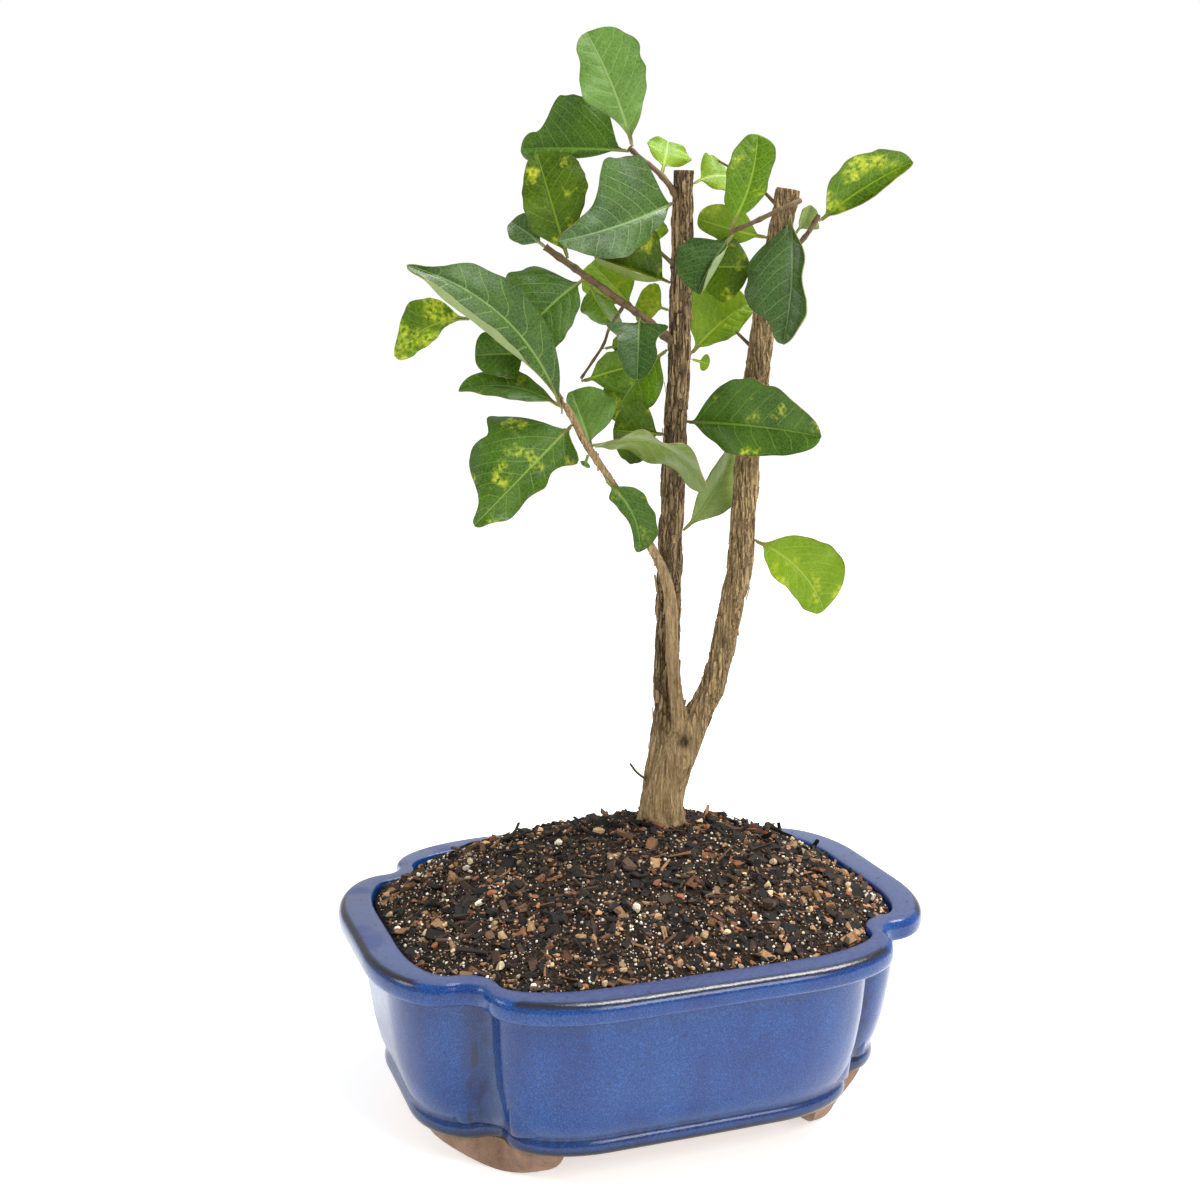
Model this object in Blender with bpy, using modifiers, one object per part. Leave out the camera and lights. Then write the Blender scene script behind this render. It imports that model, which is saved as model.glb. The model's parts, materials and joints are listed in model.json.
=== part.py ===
"""A small two-stemmed crape myrtle bonsai, growing in a lobed glazed pot on four feet.

Frame: the origin is on the ground under the middle of the pot. +X runs along the pot's length,
+Y across it towards the back, +Z up. Sizes are in millimetres and are turned into metres by mm().
"""

import math

import bmesh
import bpy
from mathutils import Euler, Matrix, Vector

# ---- driving dimensions, in millimetres -------------------------------------------------------

GAP = 0.3                 # clearance between any two pieces that touch

# The pot: two long lobes and two short ones, with a notch where they meet.
RIM_HALF_LENGTH = 100.0
RIM_HALF_WIDTH = 82.0
NOTCH_X = 0.7 * RIM_HALF_LENGTH           # where the notch sits at the rim
NOTCH_Y = 0.646 * RIM_HALF_WIDTH
LONG_STRAIGHT = 0.3 * RIM_HALF_LENGTH     # half of the straight stretch of a long side
SHORT_STRAIGHT = 0.195 * RIM_HALF_WIDTH   # half of the straight stretch of a short side
NOTCH_FILLET = 2.5
POT_HEIGHT = 73.0
FOOT_HEIGHT = 12.5
FLOOR_THICKNESS = 5.0
LIP_HEIGHT = 8.0
LIP_WIDTH = 12.0          # rim's top face, from its outer edge to the opening
WALL_LEAN = 9.0           # how far the inner wall comes in from the rim down to the floor
FLOOR_ROUNDING = 0.1      # the lowest share of the inner wall, which turns in to the floor
BEAD_HEIGHT = 5.5
DRAIN_RADIUS = 6.0
DRAIN_X = 34.0
DRAIN_SIDES = 24

# How far the foot of the wall stands inside the rim: ends, sides, and the notch along X and Y.
BASE_INSET = (16.0, 18.5, 10.0, 13.0)
OPENING_INSET = (LIP_WIDTH + 0.5, LIP_WIDTH, 5.0, 8.0)
NOTCH_LEAN = 0.5          # how much of the inner wall's lean the notch has

# The outside of the wall, from the underside up: the bead's belly, the body and the lip. Each step is
# a share of BASE_INSET and a share of its own stretch's height.
BEAD_STEPS = ((1.00, 0), (0.95, 0.15), (0.91, 0.5), (0.97, 1))
BODY_STEPS = ((0.89, 0.07), (0.76, 0.22), (0.64, 0.42), (0.55, 0.65), (0.50, 0.85), (0.49, 1))
LIP_STEPS = ((0.06, 0.06), (0.0, 0.2), (0.0, 0.85), (0.06, 1))

# A foot's top follows the wall round its notch, this far each way, and narrows to a flat oval pad.
FOOT_REACH = 26.0
FOOT_DEPTH = 17.0         # inwards from the notch
FOOT_SETBACK = 1.2
PAD_INSET = 7.0           # from the notch in to the pad's middle
PAD_HALF_LENGTH = 9.0
PAD_HALF_DEPTH = 6.0
FOOT_TOP = 1.5            # how far a foot reaches up inside the pot's base
FOOT_STEPS = ((0, 1), (0.38, 0.55), (0.82, 0.1), (1, 0))  # share of the way to the pad, share of the height

# The soil, heaped round the trunk's foot.
SOIL_DROP = 2.5           # below the rim, at the pot's wall
MOUND_HEIGHT = 21.3       # above the rim, at the trunk
MOUND_ROUNDNESS = 1.7
TREE_X = 17.5
TREE_Y = 15.0
STUMP_DEPTH = 24.0        # how far the trunk goes into the soil
SCREEN_SIDE = 24.0
SCREEN_CELLS = 4
SCREEN_BAR = 1.2

# Leaves.
LEAF_THICKNESS = 0.5
PETIOLE_LENGTH = 2.5
PETIOLE_WIDTH = 0.9
TIP_WIDTH = 0.8
LEAF_FULLNESS = 0.7       # below 1 fills the oval out towards its ends
LEAF_WAVES = 2.5          # waves of the margin along a leaf
LEAF_STEPS = 7            # mesh steps along a leaf
LEAF_STRIPS = 4           # and across it

# Routes of the wood, from the trunk's foot at the soil surface: x, y, z and radius.
LEFT_STEM = (
    (-1.5, 1.5, -8, 6), (-0.8, 2.4, 7, 5.3), (1, 2.9, 23, 5.1), (3.2, 3.1, 38.5, 4.7), (3.8, 3.9, 53, 4.7),
    (4, 3.9, 73.5, 4.6), (4.5, 3.7, 95.5, 4.5), (5.3, 3.4, 120.5, 4.4), (6.4, 3, 148.5, 4.2),
    (7.2, 2.7, 176.5, 4.1), (7.6, 2.6, 203.5, 3.9), (7.8, 2.5, 231, 3.8),
)
RIGHT_STEM = (
    (0, 0, -STUMP_DEPTH, 7), (0, 0, -6, 8.4), (0.6, -0.2, 3, 8), (1.8, -1.7, 13.5, 7.3),
    (5.8, -4.2, 26.5, 6.5),
    (11.4, -6.2, 39, 5.2), (17.6, -8.5, 54.5, 4.6), (22.5, -10.2, 80.5, 4.4), (25.1, -11.1, 95, 4.7),
    (26.6, -11.7, 124, 4.4), (27.7, -12.1, 139, 4.2), (30.7, -13.2, 172, 4.3), (34.7, -14.6, 199.5, 4.3),
    (38.6, -16, 224.5, 4.2),
)
FRONT_STEM = (
    (6.5, -5, 32, 3), (5.3, -5.8, 38, 2.7), (3.5, -5.5, 49, 2.4), (2.1, -5, 64.5, 2.4), (1.7, -4.9, 79, 2.4),
    (-0.2, -5.3, 89, 2.1), (-3.9, -5, 98, 1.8), (-10.3, -4.8, 109, 1.5), (-16, -4.9, 118, 1.4),
    (-22.5, -4.7, 128, 1.4), (-28.3, -3.7, 136.5, 1.4), (-32.4, -3.3, 144, 1.4), (-37, -2.7, 152.5, 1.3),
)
# Each branch or twig: what it grows from, and its own route, which starts inside its parent.
TWIGS = {
    "side_branch": ("left_stem", (
        (6, 2, 171, 1.6), (-2.9, 1, 177.5, 1.4), (-7.1, 1.5, 181, 1.2), (-15.3, 2.3, 186.5, 1.2),
        (-27.5, 3.5, 195, 1.2), (-40.8, 6.1, 204.5, 1.2))),
    "top_branch": ("left_stem", (
        (7, 2, 219, 1.2), (2, 2.4, 226, 1), (-1.7, 3.8, 230, 0.9), (-6.3, 4.4, 233.5, 0.8),
        (-10.8, 6, 237.5, 0.8))),
    "crossing_branch": ("right_stem", (
        (38.3, -16.5, 219, 1.3), (39.4, -23.2, 219.5, 1.3), (32.7, -23.6, 217, 1.2), (25, -20.6, 213, 1.1),
        (16.6, -16.6, 209, 1))),
    "right_twig": ("right_stem", (
        (35, -15, 197, 0.9), (41.3, -21.5, 206.5, 0.8), (44.1, -23.3, 211, 0.8), (46.2, -24, 215, 0.8))),
    "far_twig": ("front_stem", (
        (-32.4, -3.3, 144, 0.7), (-35, 0.4, 149.5, 0.7), (-38.3, 3, 157, 0.7), (-45, 6.6, 169.5, 0.6),
        (-56.2, 8.4, 179, 0.5), (-66.2, 9.9, 182, 0.5))),
    "short_twig": ("left_stem", (
        (7.5, 2.6, 196.5, 0.7), (2, 3.5, 201, 0.7), (-0.9, 5.6, 204, 0.6))),
    "hanging_twig": ("side_branch", (
        (-13.5, 2.1, 185.3, 0.5), (-17.8, 5.2, 177.5, 0.5), (-20.4, 5.6, 171, 0.5), (-27.5, 7.7, 160, 0.5))),
    "dead_twig_top": ("right_stem", (
        (37, -15.5, 216, 0.7), (31, -11.1, 223.5, 0.5), (25.6, -4.9, 229, 0.4), (19.3, -0.6, 233.5, 0.4))),
    "dead_twig_right": ("right_stem", (
        (30.5, -13.1, 168, 0.7), (23.4, -8.4, 176, 0.5))),
    "dead_twig_foot": ("left_stem", (
        (-0.5, 2.4, 12, 0.5), (-8.5, 2, 18.5, 0.5))),
}

# Each leaf: what holds it, how far along (0 to 1), heading, pitch and roll in degrees, length, width of
# its left half and of its right half, arch and sway (bulge of the midrib out of the blade and within
# it, as shares of the length), fold of the left and of the right half in degrees, twist in degrees,
# the margin's wave, and where along the blade it is widest.
LEAVES = {
    "leaf_01": ("top_branch", 1.00, 177, 66, -98, 39, 10, 10.5, 0.02, -0.03, 8, 8, 0, 0.8, 0.60),
    "leaf_02": ("top_branch", 1.00, 143, 2, -73, 38, 6, 19, 0.04, 0.00, 45, 5, 0, 0.8, 0.52),
    "leaf_03": ("side_branch", 0.85, 146, 73, -75, 35, 9.5, 14, 0.05, 0.00, 6, 6, 0, 0.6, 0.52),
    "leaf_04": ("left_stem", 0.95, -167, -16, -81, 47, 9.5, 19.5, 0.05, 0.03, 12, 5, 0, 0.9, 0.42),
    "leaf_05": ("side_branch", 1.00, 137, 33, -56, 15, 5, 6.5, 0.05, 0.00, 10, 10, 0, 0.3, 0.50),
    "leaf_06": ("top_branch", 0.26, 56, 50, 31, 14, 5.5, 6.5, 0.05, 0.00, 15, 15, 0, 0.9, 0.50),
    "leaf_07": ("left_stem", 0.98, 6, 9, 53, 14, 7, 7, 0.08, 0.05, 10, 10, 0, 0.2, 0.50),
    "leaf_08": ("crossing_branch", 0.94, -7, 74, 84, 31, 9, 6, 0.03, -0.06, 5, 15, 0, 0.4, 0.55),
    "leaf_09": ("right_twig", 0.93, -32, 32, 114, 35, 11.5, 5.5, 0.03, 0.05, 8, 55, 0, 0.5, 0.45),
    "leaf_10": ("right_stem", 0.96, -124, -76, -8, 43, 11, 14, 0.05, 0.04, 35, 5, 0, 1.2, 0.50),
    "leaf_11": ("right_stem", 0.94, -24, 61, 139, 11, 5.5, 5.5, 0.05, 0.00, 30, 30, 0, 0.2, 0.50),
    "leaf_12": ("right_stem", 0.93, 146, 15, -103, 24, 4, 6.5, 0.05, 0.00, 10, 10, 0, 0.4, 0.50),
    "leaf_13": ("crossing_branch", 0.99, 176, -58, -73, 22, 5.5, 10, 0.05, -0.05, 78, 5, 0, 0.3, 0.55),
    "leaf_14": ("right_stem", 0.89, 151, 1, -90, 20, 9, 7.5, 0.04, 0.00, 15, 10, 0, 0.4, 0.50),
    "leaf_15": ("left_stem", 0.74, -6, 39, 87, 27, 13.5, 5.5, 0.05, 0.06, 8, 25, 0, 0.5, 0.50),
    "leaf_16": ("left_stem", 0.73, -25, -15, 86, 6, 3, 3, 0.05, 0.00, 10, 10, 0, 0.0, 0.50),
    "leaf_17": ("left_stem", 0.64, -50, -3, 97, 50, 16.5, 10.5, 0.04, 0.03, 5, 40, 0, 0.6, 0.48),
    "leaf_18": ("left_stem", 0.48, -5, 59, 100, 35, 9, 9, 0.05, -0.05, 40, 20, 30, 0.5, 0.55),
    "leaf_19": ("right_stem", 0.52, -28, -45, 82, 34, 12.5, 8.5, 0.05, 0.11, 10, 10, 0, 0.5, 0.55),
    "leaf_20": ("front_stem", 0.77, -22, -65, 100, 27, 7.5, 5.5, 0.04, 0.14, 8, 25, 0, 0.3, 0.50),
    "leaf_21": ("front_stem", 0.86, -18, -21, 145, 41, 12.5, 11, -0.22, 0.04, 25, 10, 0, 0.5, 0.50),
    "leaf_22": ("front_stem", 0.94, -179, -43, -72, 47, 11.5, 19.5, 0.04, 0.00, -30, 6, 0, 1.6, 0.48),
    "leaf_23": ("front_stem", 1.00, 154, 8, -54, 35, 4.5, 9, 0.05, -0.10, 35, 8, 0, 0.6, 0.50),
    "leaf_24": ("front_stem", 1.00, -179, 42, -85, 70, 9.5, 9, 0.04, -0.12, 45, 5, 15, 0.8, 0.45),
    "leaf_25": ("far_twig", 1.00, 172, -26, -75, 28, 7, 8.5, 0.05, -0.12, 10, 10, 0, 0.5, 0.50),
    "leaf_26": ("far_twig", 0.50, 158, -1, -67, 19, 7, 6.5, 0.05, 0.00, 10, 20, 0, 0.3, 0.50),
    "leaf_27": ("side_branch", 0.68, 176, -44, -79, 34, 11, 16, 0.05, -0.05, 10, 8, 0, 0.6, 0.50),
    "leaf_28": ("side_branch", 0.29, 121, 39, -53, 24, 7.5, 7.5, 0.05, 0.00, 10, 10, 0, 0.4, 0.50),
    "leaf_29": ("side_branch", 0.63, 37, -44, 166, 21, 6.5, 5.5, 0.05, 0.00, 40, 10, 0, 0.3, 0.50),
    "leaf_30": ("left_stem", 0.84, 170, 19, -93, 27, 5, 10, 0.04, 0.00, 35, 10, 0, 0.4, 0.50),
    "leaf_31": ("short_twig", 0.94, 93, 52, -15, 11, 4, 4, 0.05, 0.00, 10, 10, 0, 0.2, 0.50),
    "leaf_32": ("side_branch", 0.22, -114, -58, -3, 18, 9.5, 9.5, 0.12, 0.00, 20, 20, 0, 0.6, 0.45),
    "leaf_33": ("left_stem", 0.80, 135, 15, -72, 12, 5, 5, 0.05, 0.00, 10, 10, 0, 0.2, 0.50),
    "leaf_34": ("hanging_twig", 1.00, -14, 15, 100, 21, 5.5, 5.5, 0.05, 0.04, 15, 15, 0, 0.8, 0.50),
    "leaf_35": ("left_stem", 0.74, 158, -53, -69, 30, 6.5, 5.5, 0.05, -0.05, 10, 20, 0, 0.5, 0.50),
    "leaf_36": ("left_stem", 0.62, 176, 6, -86, 18, 7.5, 7.5, 0.05, 0.00, 10, 10, 0, 0.3, 0.50),
    "leaf_37": ("front_stem", 0.86, 108, 58, -39, 22, 3, 10.5, 0.05, 0.00, 20, 8, 0, 0.4, 0.50),
    "leaf_38": ("hanging_twig", 0.52, -29, 13, 109, 7, 3.5, 3.5, 0.05, 0.00, 10, 10, 0, 0.2, 0.50),
    "leaf_39": ("front_stem", 0.85, 92, -56, -133, 5, 2, 2, 0.05, 0.00, 10, 10, 0, 0.0, 0.50),
}

# ---- helpers ----------------------------------------------------------------------------------

CORNER_POINTS = 6         # mesh points round each lobe's corner
FILLET_POINTS = 2
LONG_POINTS = 3           # along half of a straight side
SHORT_POINTS = 2
FOOT_POINTS = 10          # along a foot's outside, and along its inside
STEM_SIDES = 4            # bevel resolutions of the wood
TWIG_SIDES = 2
SHARP_ANGLE = math.radians(35)
CLEARING_STEP = 0.0025    # share of a twig's route
SHORTEST_STRETCH = 0.5
WELD = 1e-6               # metres


def mm(*values):
    """Millimetres as metres: one number, or a vector of three."""
    return values[0] / 1000 if len(values) == 1 else Vector(values) / 1000


def clear_scene():
    for obj in list(bpy.data.objects):
        bpy.data.objects.remove(obj, do_unlink=True)


def collection(name):
    made = bpy.data.collections.new(name)
    bpy.context.scene.collection.children.link(made)
    return made


def material(name, colour, roughness, metallic=0.0):
    made = bpy.data.materials.new(name)
    made.use_nodes = True
    shader = made.node_tree.nodes["Principled BSDF"]
    shader.inputs["Base Color"].default_value = (*colour, 1)
    shader.inputs["Roughness"].default_value = roughness
    shader.inputs["Metallic"].default_value = metallic
    made.diffuse_color = (*colour, 1)
    return made


def mesh_object(name, mesh, finish, where):
    obj = bpy.data.objects.new(name, mesh)
    if finish:
        mesh.materials.append(finish)
    where.objects.link(obj)
    return obj


def as_cutter(obj):
    obj.hide_render = True
    obj.display_type = "WIRE"
    return obj


def new_cutter(name, cutters):
    """The primitive that was just added, as a cutter."""
    obj = bpy.context.object
    obj.name = name
    for linked in list(obj.users_collection):
        linked.objects.unlink(obj)
    cutters.objects.link(obj)
    return as_cutter(obj)


def boolean(obj, operation, other):
    change = obj.modifiers.new(f"{operation.lower()} {other.name}", "BOOLEAN")
    change.operation = operation
    change.object = other


# ---- the pot ----------------------------------------------------------------------------------

def quarter_arc(centre, radii, start):
    """Points of a quarter ellipse that turns from the start angle down by 90 degrees, end point left out."""
    count = FILLET_POINTS if max(radii) <= NOTCH_FILLET else CORNER_POINTS
    turn = math.pi / 2 if start > math.pi / 2 else -math.pi / 2
    return [
        (centre[0] + radii[0] * math.cos(start + turn * i / count),
         centre[1] + radii[1] * math.sin(start + turn * i / count))
        for i in range(count)
    ]


def lobed_outline(insets=(0, 0, 0, 0)):
    """The pot's plan, in from the rim by these distances at the ends, sides and notch, as points in mm."""
    end, side, notch_in_x, notch_in_y = insets
    length = RIM_HALF_LENGTH - end
    width = RIM_HALF_WIDTH - side
    notch_x = NOTCH_X - notch_in_x
    notch_y = NOTCH_Y - notch_in_y
    fillet = NOTCH_FILLET
    quarter = [(LONG_STRAIGHT * i / LONG_POINTS, width) for i in range(LONG_POINTS)]
    quarter += quarter_arc(
        (LONG_STRAIGHT, notch_y + fillet), (notch_x - LONG_STRAIGHT, width - notch_y - fillet),
        math.pi / 2)
    quarter += quarter_arc((notch_x + fillet, notch_y + fillet), (fillet, fillet), math.pi)
    quarter += quarter_arc(
        (notch_x + fillet, SHORT_STRAIGHT), (length - notch_x - fillet, notch_y - SHORT_STRAIGHT),
        math.pi / 2)
    quarter += [(length, SHORT_STRAIGHT * (1 - i / SHORT_POINTS)) for i in range(SHORT_POINTS)]
    right_front = [(x, -y) for x, y in quarter[:0:-1]]
    left_front = [(-x, -y) for x, y in quarter]
    left_back = [(-x, y) for x, y in quarter[:0:-1]]
    # The two points on the long axis close each half.
    return quarter + [(length, 0)] + right_front + left_front + [(-length, 0)] + left_back


def loft(name, rings, finish, where):
    """A closed solid through rings of equally many points, capped at the first and the last."""
    shape = bmesh.new()
    loops = [[shape.verts.new(mm(x, y, z)) for x, y, z in ring] for ring in rings]
    count = len(loops[0])
    for low, high in zip(loops, loops[1:]):
        for i in range(count):
            j = (i + 1) % count
            shape.faces.new((low[i], low[j], high[j], high[i]))
    shape.faces.new(loops[0][::-1])
    shape.faces.new(loops[-1])
    bmesh.ops.recalc_face_normals(shape, faces=shape.faces)
    mesh = bpy.data.meshes.new(name)
    shape.to_mesh(mesh)
    shape.free()
    mesh.shade_smooth()
    mesh.set_sharp_from_angle(angle=SHARP_ANGLE)
    return mesh_object(name, mesh, finish, where)


def level(insets, height):
    return [(x, y, height) for x, y in lobed_outline(insets)]


def outer_levels():
    """The outside of the wall, from the underside up to the rim's top face."""
    bead_top = FOOT_HEIGHT + BEAD_HEIGHT
    lip_foot = POT_HEIGHT - LIP_HEIGHT
    rings = []
    for low, high, steps in (
        (FOOT_HEIGHT, bead_top, BEAD_STEPS), (bead_top, lip_foot, BODY_STEPS),
        (lip_foot, POT_HEIGHT, LIP_STEPS),
    ):
        for inset_share, share in steps:
            insets = tuple(inset_share * inset for inset in BASE_INSET)
            rings.append(level(insets, low + (high - low) * share))
    return rings


def inner_insets(depth, clearance=0.0):
    """Insets of the inner wall at a depth below the rim, from 0 at the rim to 1 at the floor."""
    grown = [inset + WALL_LEAN * depth + clearance for inset in OPENING_INSET]
    # The wall leans by less at the notch, where it is already further in.
    for i in (2, 3):
        grown[i] -= (1 - NOTCH_LEAN) * WALL_LEAN * depth
    return tuple(grown)


def inner_height(depth):
    return POT_HEIGHT + (FOOT_HEIGHT + FLOOR_THICKNESS - POT_HEIGHT) * depth


def foot_path():
    """Points along the wall's foot round the notch at +X, +Y, each with its distance from the notch."""
    count = LONG_POINTS + 2 * CORNER_POINTS + FILLET_POINTS + SHORT_POINTS + 1
    points = [Vector(point) for point in lobed_outline(BASE_INSET)[:count]]
    run = [0.0]
    for a, b in zip(points, points[1:]):
        run.append(run[-1] + (b - a).length)
    middle = run[LONG_POINTS + CORNER_POINTS + FILLET_POINTS // 2]
    return points, [distance - middle for distance in run]


def point_on(points, run, distance):
    """The point at a distance along a path, and the path's direction there."""
    distance = max(run[0], min(run[-1], distance))
    for i in range(len(points) - 1):
        if distance <= run[i + 1]:
            break
    share = (distance - run[i]) / (run[i + 1] - run[i])
    return points[i].lerp(points[i + 1], share), (points[i + 1] - points[i]).normalized()


def foot_rings():
    """A foot's rings, from inside the pot's base down to the pad: along the wall outside, an arc inside."""
    points, run = foot_path()
    notch, _ = point_on(points, run, 0)
    into = Vector((-1, -1)).normalized()
    sideways = Vector((1, -1)).normalized()
    outside = []
    for i in range(FOOT_POINTS + 1):
        place, tangent = point_on(points, run, FOOT_REACH * (2 * i / FOOT_POINTS - 1))
        inward = (Vector((tangent.y, -tangent.x)) + into).normalized()
        outside.append(place + inward * FOOT_SETBACK)
    first, last = outside[0], outside[-1]
    deep = notch + into * FOOT_DEPTH * 2
    inside = []
    for i in range(1, FOOT_POINTS):
        share = i / FOOT_POINTS
        inside.append(last.lerp(deep, share).lerp(deep.lerp(first, share), share))
    top = outside + inside
    middle = notch + into * PAD_INSET
    pad = []
    for i in range(len(top)):
        angle = math.pi * (1 - i / FOOT_POINTS)
        pad.append(
            middle + sideways * PAD_HALF_LENGTH * math.cos(angle) - into * PAD_HALF_DEPTH * math.sin(angle))
    rings = [[(x, y, FOOT_HEIGHT + FOOT_TOP) for x, y in top]]
    for share, height in FOOT_STEPS:
        rings.append([(*high.lerp(low, share), height * FOOT_HEIGHT) for high, low in zip(top, pad)])
    return rings


def add_feet(pot, cutters):
    """Four feet like low clouds, one round each notch, joined to the pot."""
    rings = foot_rings()
    for number, (flip_x, flip_y) in enumerate(((1, 1), (-1, 1), (-1, -1), (1, -1)), 1):
        turned = [[(x * flip_x, y * flip_y, z) for x, y, z in ring] for ring in rings]
        foot = as_cutter(loft(f"foot_shape_{number}", turned, None, cutters))
        boolean(pot, "UNION", foot)


def build_pot(parts, cutters):
    rings = outer_levels()
    corner = 1 - FLOOR_ROUNDING
    rings += [level(inner_insets(depth), inner_height(depth)) for depth in (0.0, 0.02, 0.5, corner)]
    rings.append(level(inner_insets(1 + FLOOR_ROUNDING), inner_height(1.0)))
    glaze = material("glazed_stoneware", (0.05, 0.12, 0.42), 0.2)
    pot = loft("pot", rings, glaze, parts)
    add_feet(pot, cutters)
    for number, side in enumerate((-1, 1), 1):
        bpy.ops.mesh.primitive_cylinder_add(
            vertices=DRAIN_SIDES, radius=mm(DRAIN_RADIUS), depth=mm(4 * FLOOR_THICKNESS),
            location=mm(side * DRAIN_X, 0, FOOT_HEIGHT + FLOOR_THICKNESS / 2))
        boolean(pot, "DIFFERENCE", new_cutter(f"drain_cutter_{number}", cutters))


def build_screens(parts, cutters):
    """Two plastic screens over the drain holes, and for each the room that it takes from the soil."""
    plastic = material("screen_plastic", (0.03, 0.03, 0.03), 0.6)
    rooms = []
    floor = FOOT_HEIGHT + FLOOR_THICKNESS
    for number, side in enumerate((-1, 1), 1):
        shape = bmesh.new()
        bmesh.ops.create_grid(
            shape, x_segments=SCREEN_CELLS, y_segments=SCREEN_CELLS, size=mm(SCREEN_SIDE / 2))
        mesh = bpy.data.meshes.new(f"drain_screen_{number}")
        shape.to_mesh(mesh)
        shape.free()
        screen = mesh_object(mesh.name, mesh, plastic, parts)
        screen.location = mm(side * DRAIN_X, 0, floor + GAP + SCREEN_BAR / 2)
        bars = screen.modifiers.new("bars", "WIREFRAME")
        bars.thickness = mm(SCREEN_BAR)
        bars.use_even_offset = False
        bars.use_boundary = True
        side_with_gap = SCREEN_SIDE + SCREEN_BAR + 2 * GAP
        height = 2 * (SCREEN_BAR + 2 * GAP)
        bpy.ops.mesh.primitive_cube_add(size=1, location=mm(side * DRAIN_X, 0, floor))
        room = new_cutter(f"screen_room_{number}", cutters)
        room.data.transform(Matrix.Diagonal((mm(side_with_gap), mm(side_with_gap), mm(height), 1)))
        rooms.append(room)
    return rooms


# ---- soil -------------------------------------------------------------------------------------

def mound_ring(share):
    """A ring of the heaped surface, from 0 at the pot's wall to 1 at the trunk."""
    edge = POT_HEIGHT - SOIL_DROP
    rise = MOUND_HEIGHT + SOIL_DROP
    height = edge + rise * (1 - (1 - share) ** MOUND_ROUNDNESS)
    depth = SOIL_DROP / (POT_HEIGHT - FOOT_HEIGHT - FLOOR_THICKNESS)
    rim = lobed_outline(inner_insets(depth, GAP))
    return [(x + (TREE_X - x) * share, y + (TREE_Y - y) * share, height) for x, y in rim]


def build_soil(parts, cutters, rooms, stump):
    """Soil that fills the pot and is heaped round the trunk, with a pocket for what stands in it."""
    bottom = inner_height(1.0) + GAP
    corner = 1 - FLOOR_ROUNDING
    rings = [level(inner_insets(1 + FLOOR_ROUNDING, 4 * GAP), bottom)]
    rings += [level(inner_insets(depth, GAP), inner_height(depth)) for depth in (corner, 0.5)]
    rings += [mound_ring(share) for share in (0.0, 0.12, 0.35, 0.62, 0.93)]
    earth = material("potting_soil", (0.06, 0.04, 0.028), 0.95)
    soil = loft("soil", rings, earth, parts)
    for other in (*rooms, stump):
        boolean(soil, "DIFFERENCE", other)


# ---- wood -------------------------------------------------------------------------------------

def in_world(route):
    """A route from the trunk's foot as points of the whole object, with radii, in mm."""
    return [(TREE_X + x, TREE_Y + y, POT_HEIGHT + MOUND_HEIGHT + z, radius) for x, y, z, radius in route]


def tube(name, points, resolution, finish, where):
    curve = bpy.data.curves.new(name, "CURVE")
    curve.dimensions = "3D"
    curve.bevel_depth = mm(1)
    curve.bevel_resolution = resolution
    curve.use_fill_caps = True
    spline = curve.splines.new("POLY")
    spline.points.add(len(points) - 1)
    for knot, (x, y, z, radius) in zip(spline.points, points):
        knot.co = (*mm(x, y, z), 1)
        knot.radius = radius
    spline.use_smooth = True
    obj = bpy.data.objects.new(name, curve)
    if finish:
        curve.materials.append(finish)
    where.objects.link(obj)
    return obj


def as_mesh(curve_object, where):
    """The curve object made a mesh with its caps welded, so that it can be joined or cut."""
    name = curve_object.name
    bpy.context.view_layer.update()
    graph = bpy.context.evaluated_depsgraph_get()
    mesh = bpy.data.meshes.new_from_object(curve_object.evaluated_get(graph))
    shape = bmesh.new()
    shape.from_mesh(mesh)
    bmesh.ops.remove_doubles(shape, verts=shape.verts, dist=WELD)
    bmesh.ops.recalc_face_normals(shape, faces=shape.faces)
    shape.to_mesh(mesh)
    shape.free()
    bpy.data.objects.remove(curve_object, do_unlink=True)
    return mesh_object(name, mesh, None, where)


def build_trunk(parts, cutters, bark):
    """The base and its three stems, which grew as one piece; returns the room that it takes in the soil."""
    trunk = as_mesh(tube("trunk", in_world(RIGHT_STEM), STEM_SIDES, bark, parts), parts)
    for name, route in (("left_stem_shape", LEFT_STEM), ("front_stem_shape", FRONT_STEM)):
        stem = as_cutter(as_mesh(tube(name, in_world(route), STEM_SIDES, None, cutters), cutters))
        boolean(trunk, "UNION", stem)
    foot = in_world(RIGHT_STEM)[:3]
    deeper = (foot[0][0], foot[0][1], foot[0][2] - GAP, foot[0][3])
    roomy = [(x, y, z, radius + 2 * GAP) for x, y, z, radius in (deeper, *foot[1:])]
    return as_cutter(as_mesh(tube("stump_room", roomy, STEM_SIDES, None, cutters), cutters))


def place_on(route, share):
    """The point, radius and direction at a share of a route's length."""
    points = [Vector(point[:3]) for point in route]
    steps = [(b - a).length for a, b in zip(points, points[1:])]
    left = share * sum(steps)
    for i, step in enumerate(steps):
        if left <= step or i == len(steps) - 1:
            part = left / step
            radius = route[i][3] * (1 - part) + route[i + 1][3] * part
            return points[i].lerp(points[i + 1], part), radius, (points[i + 1] - points[i]).normalized()
        left -= step


def distance_outside(route, point):
    """How far a point lies outside the surface of a tube, in mm."""
    nearest = math.inf
    for a, b in zip(route, route[1:]):
        start, end = Vector(a[:3]), Vector(b[:3])
        along = max(0.0, min(1.0, (point - start).dot(end - start) / (end - start).length_squared))
        radius = a[3] * (1 - along) + b[3] * along
        nearest = min(nearest, (point - start.lerp(end, along)).length - radius)
    return nearest


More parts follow.
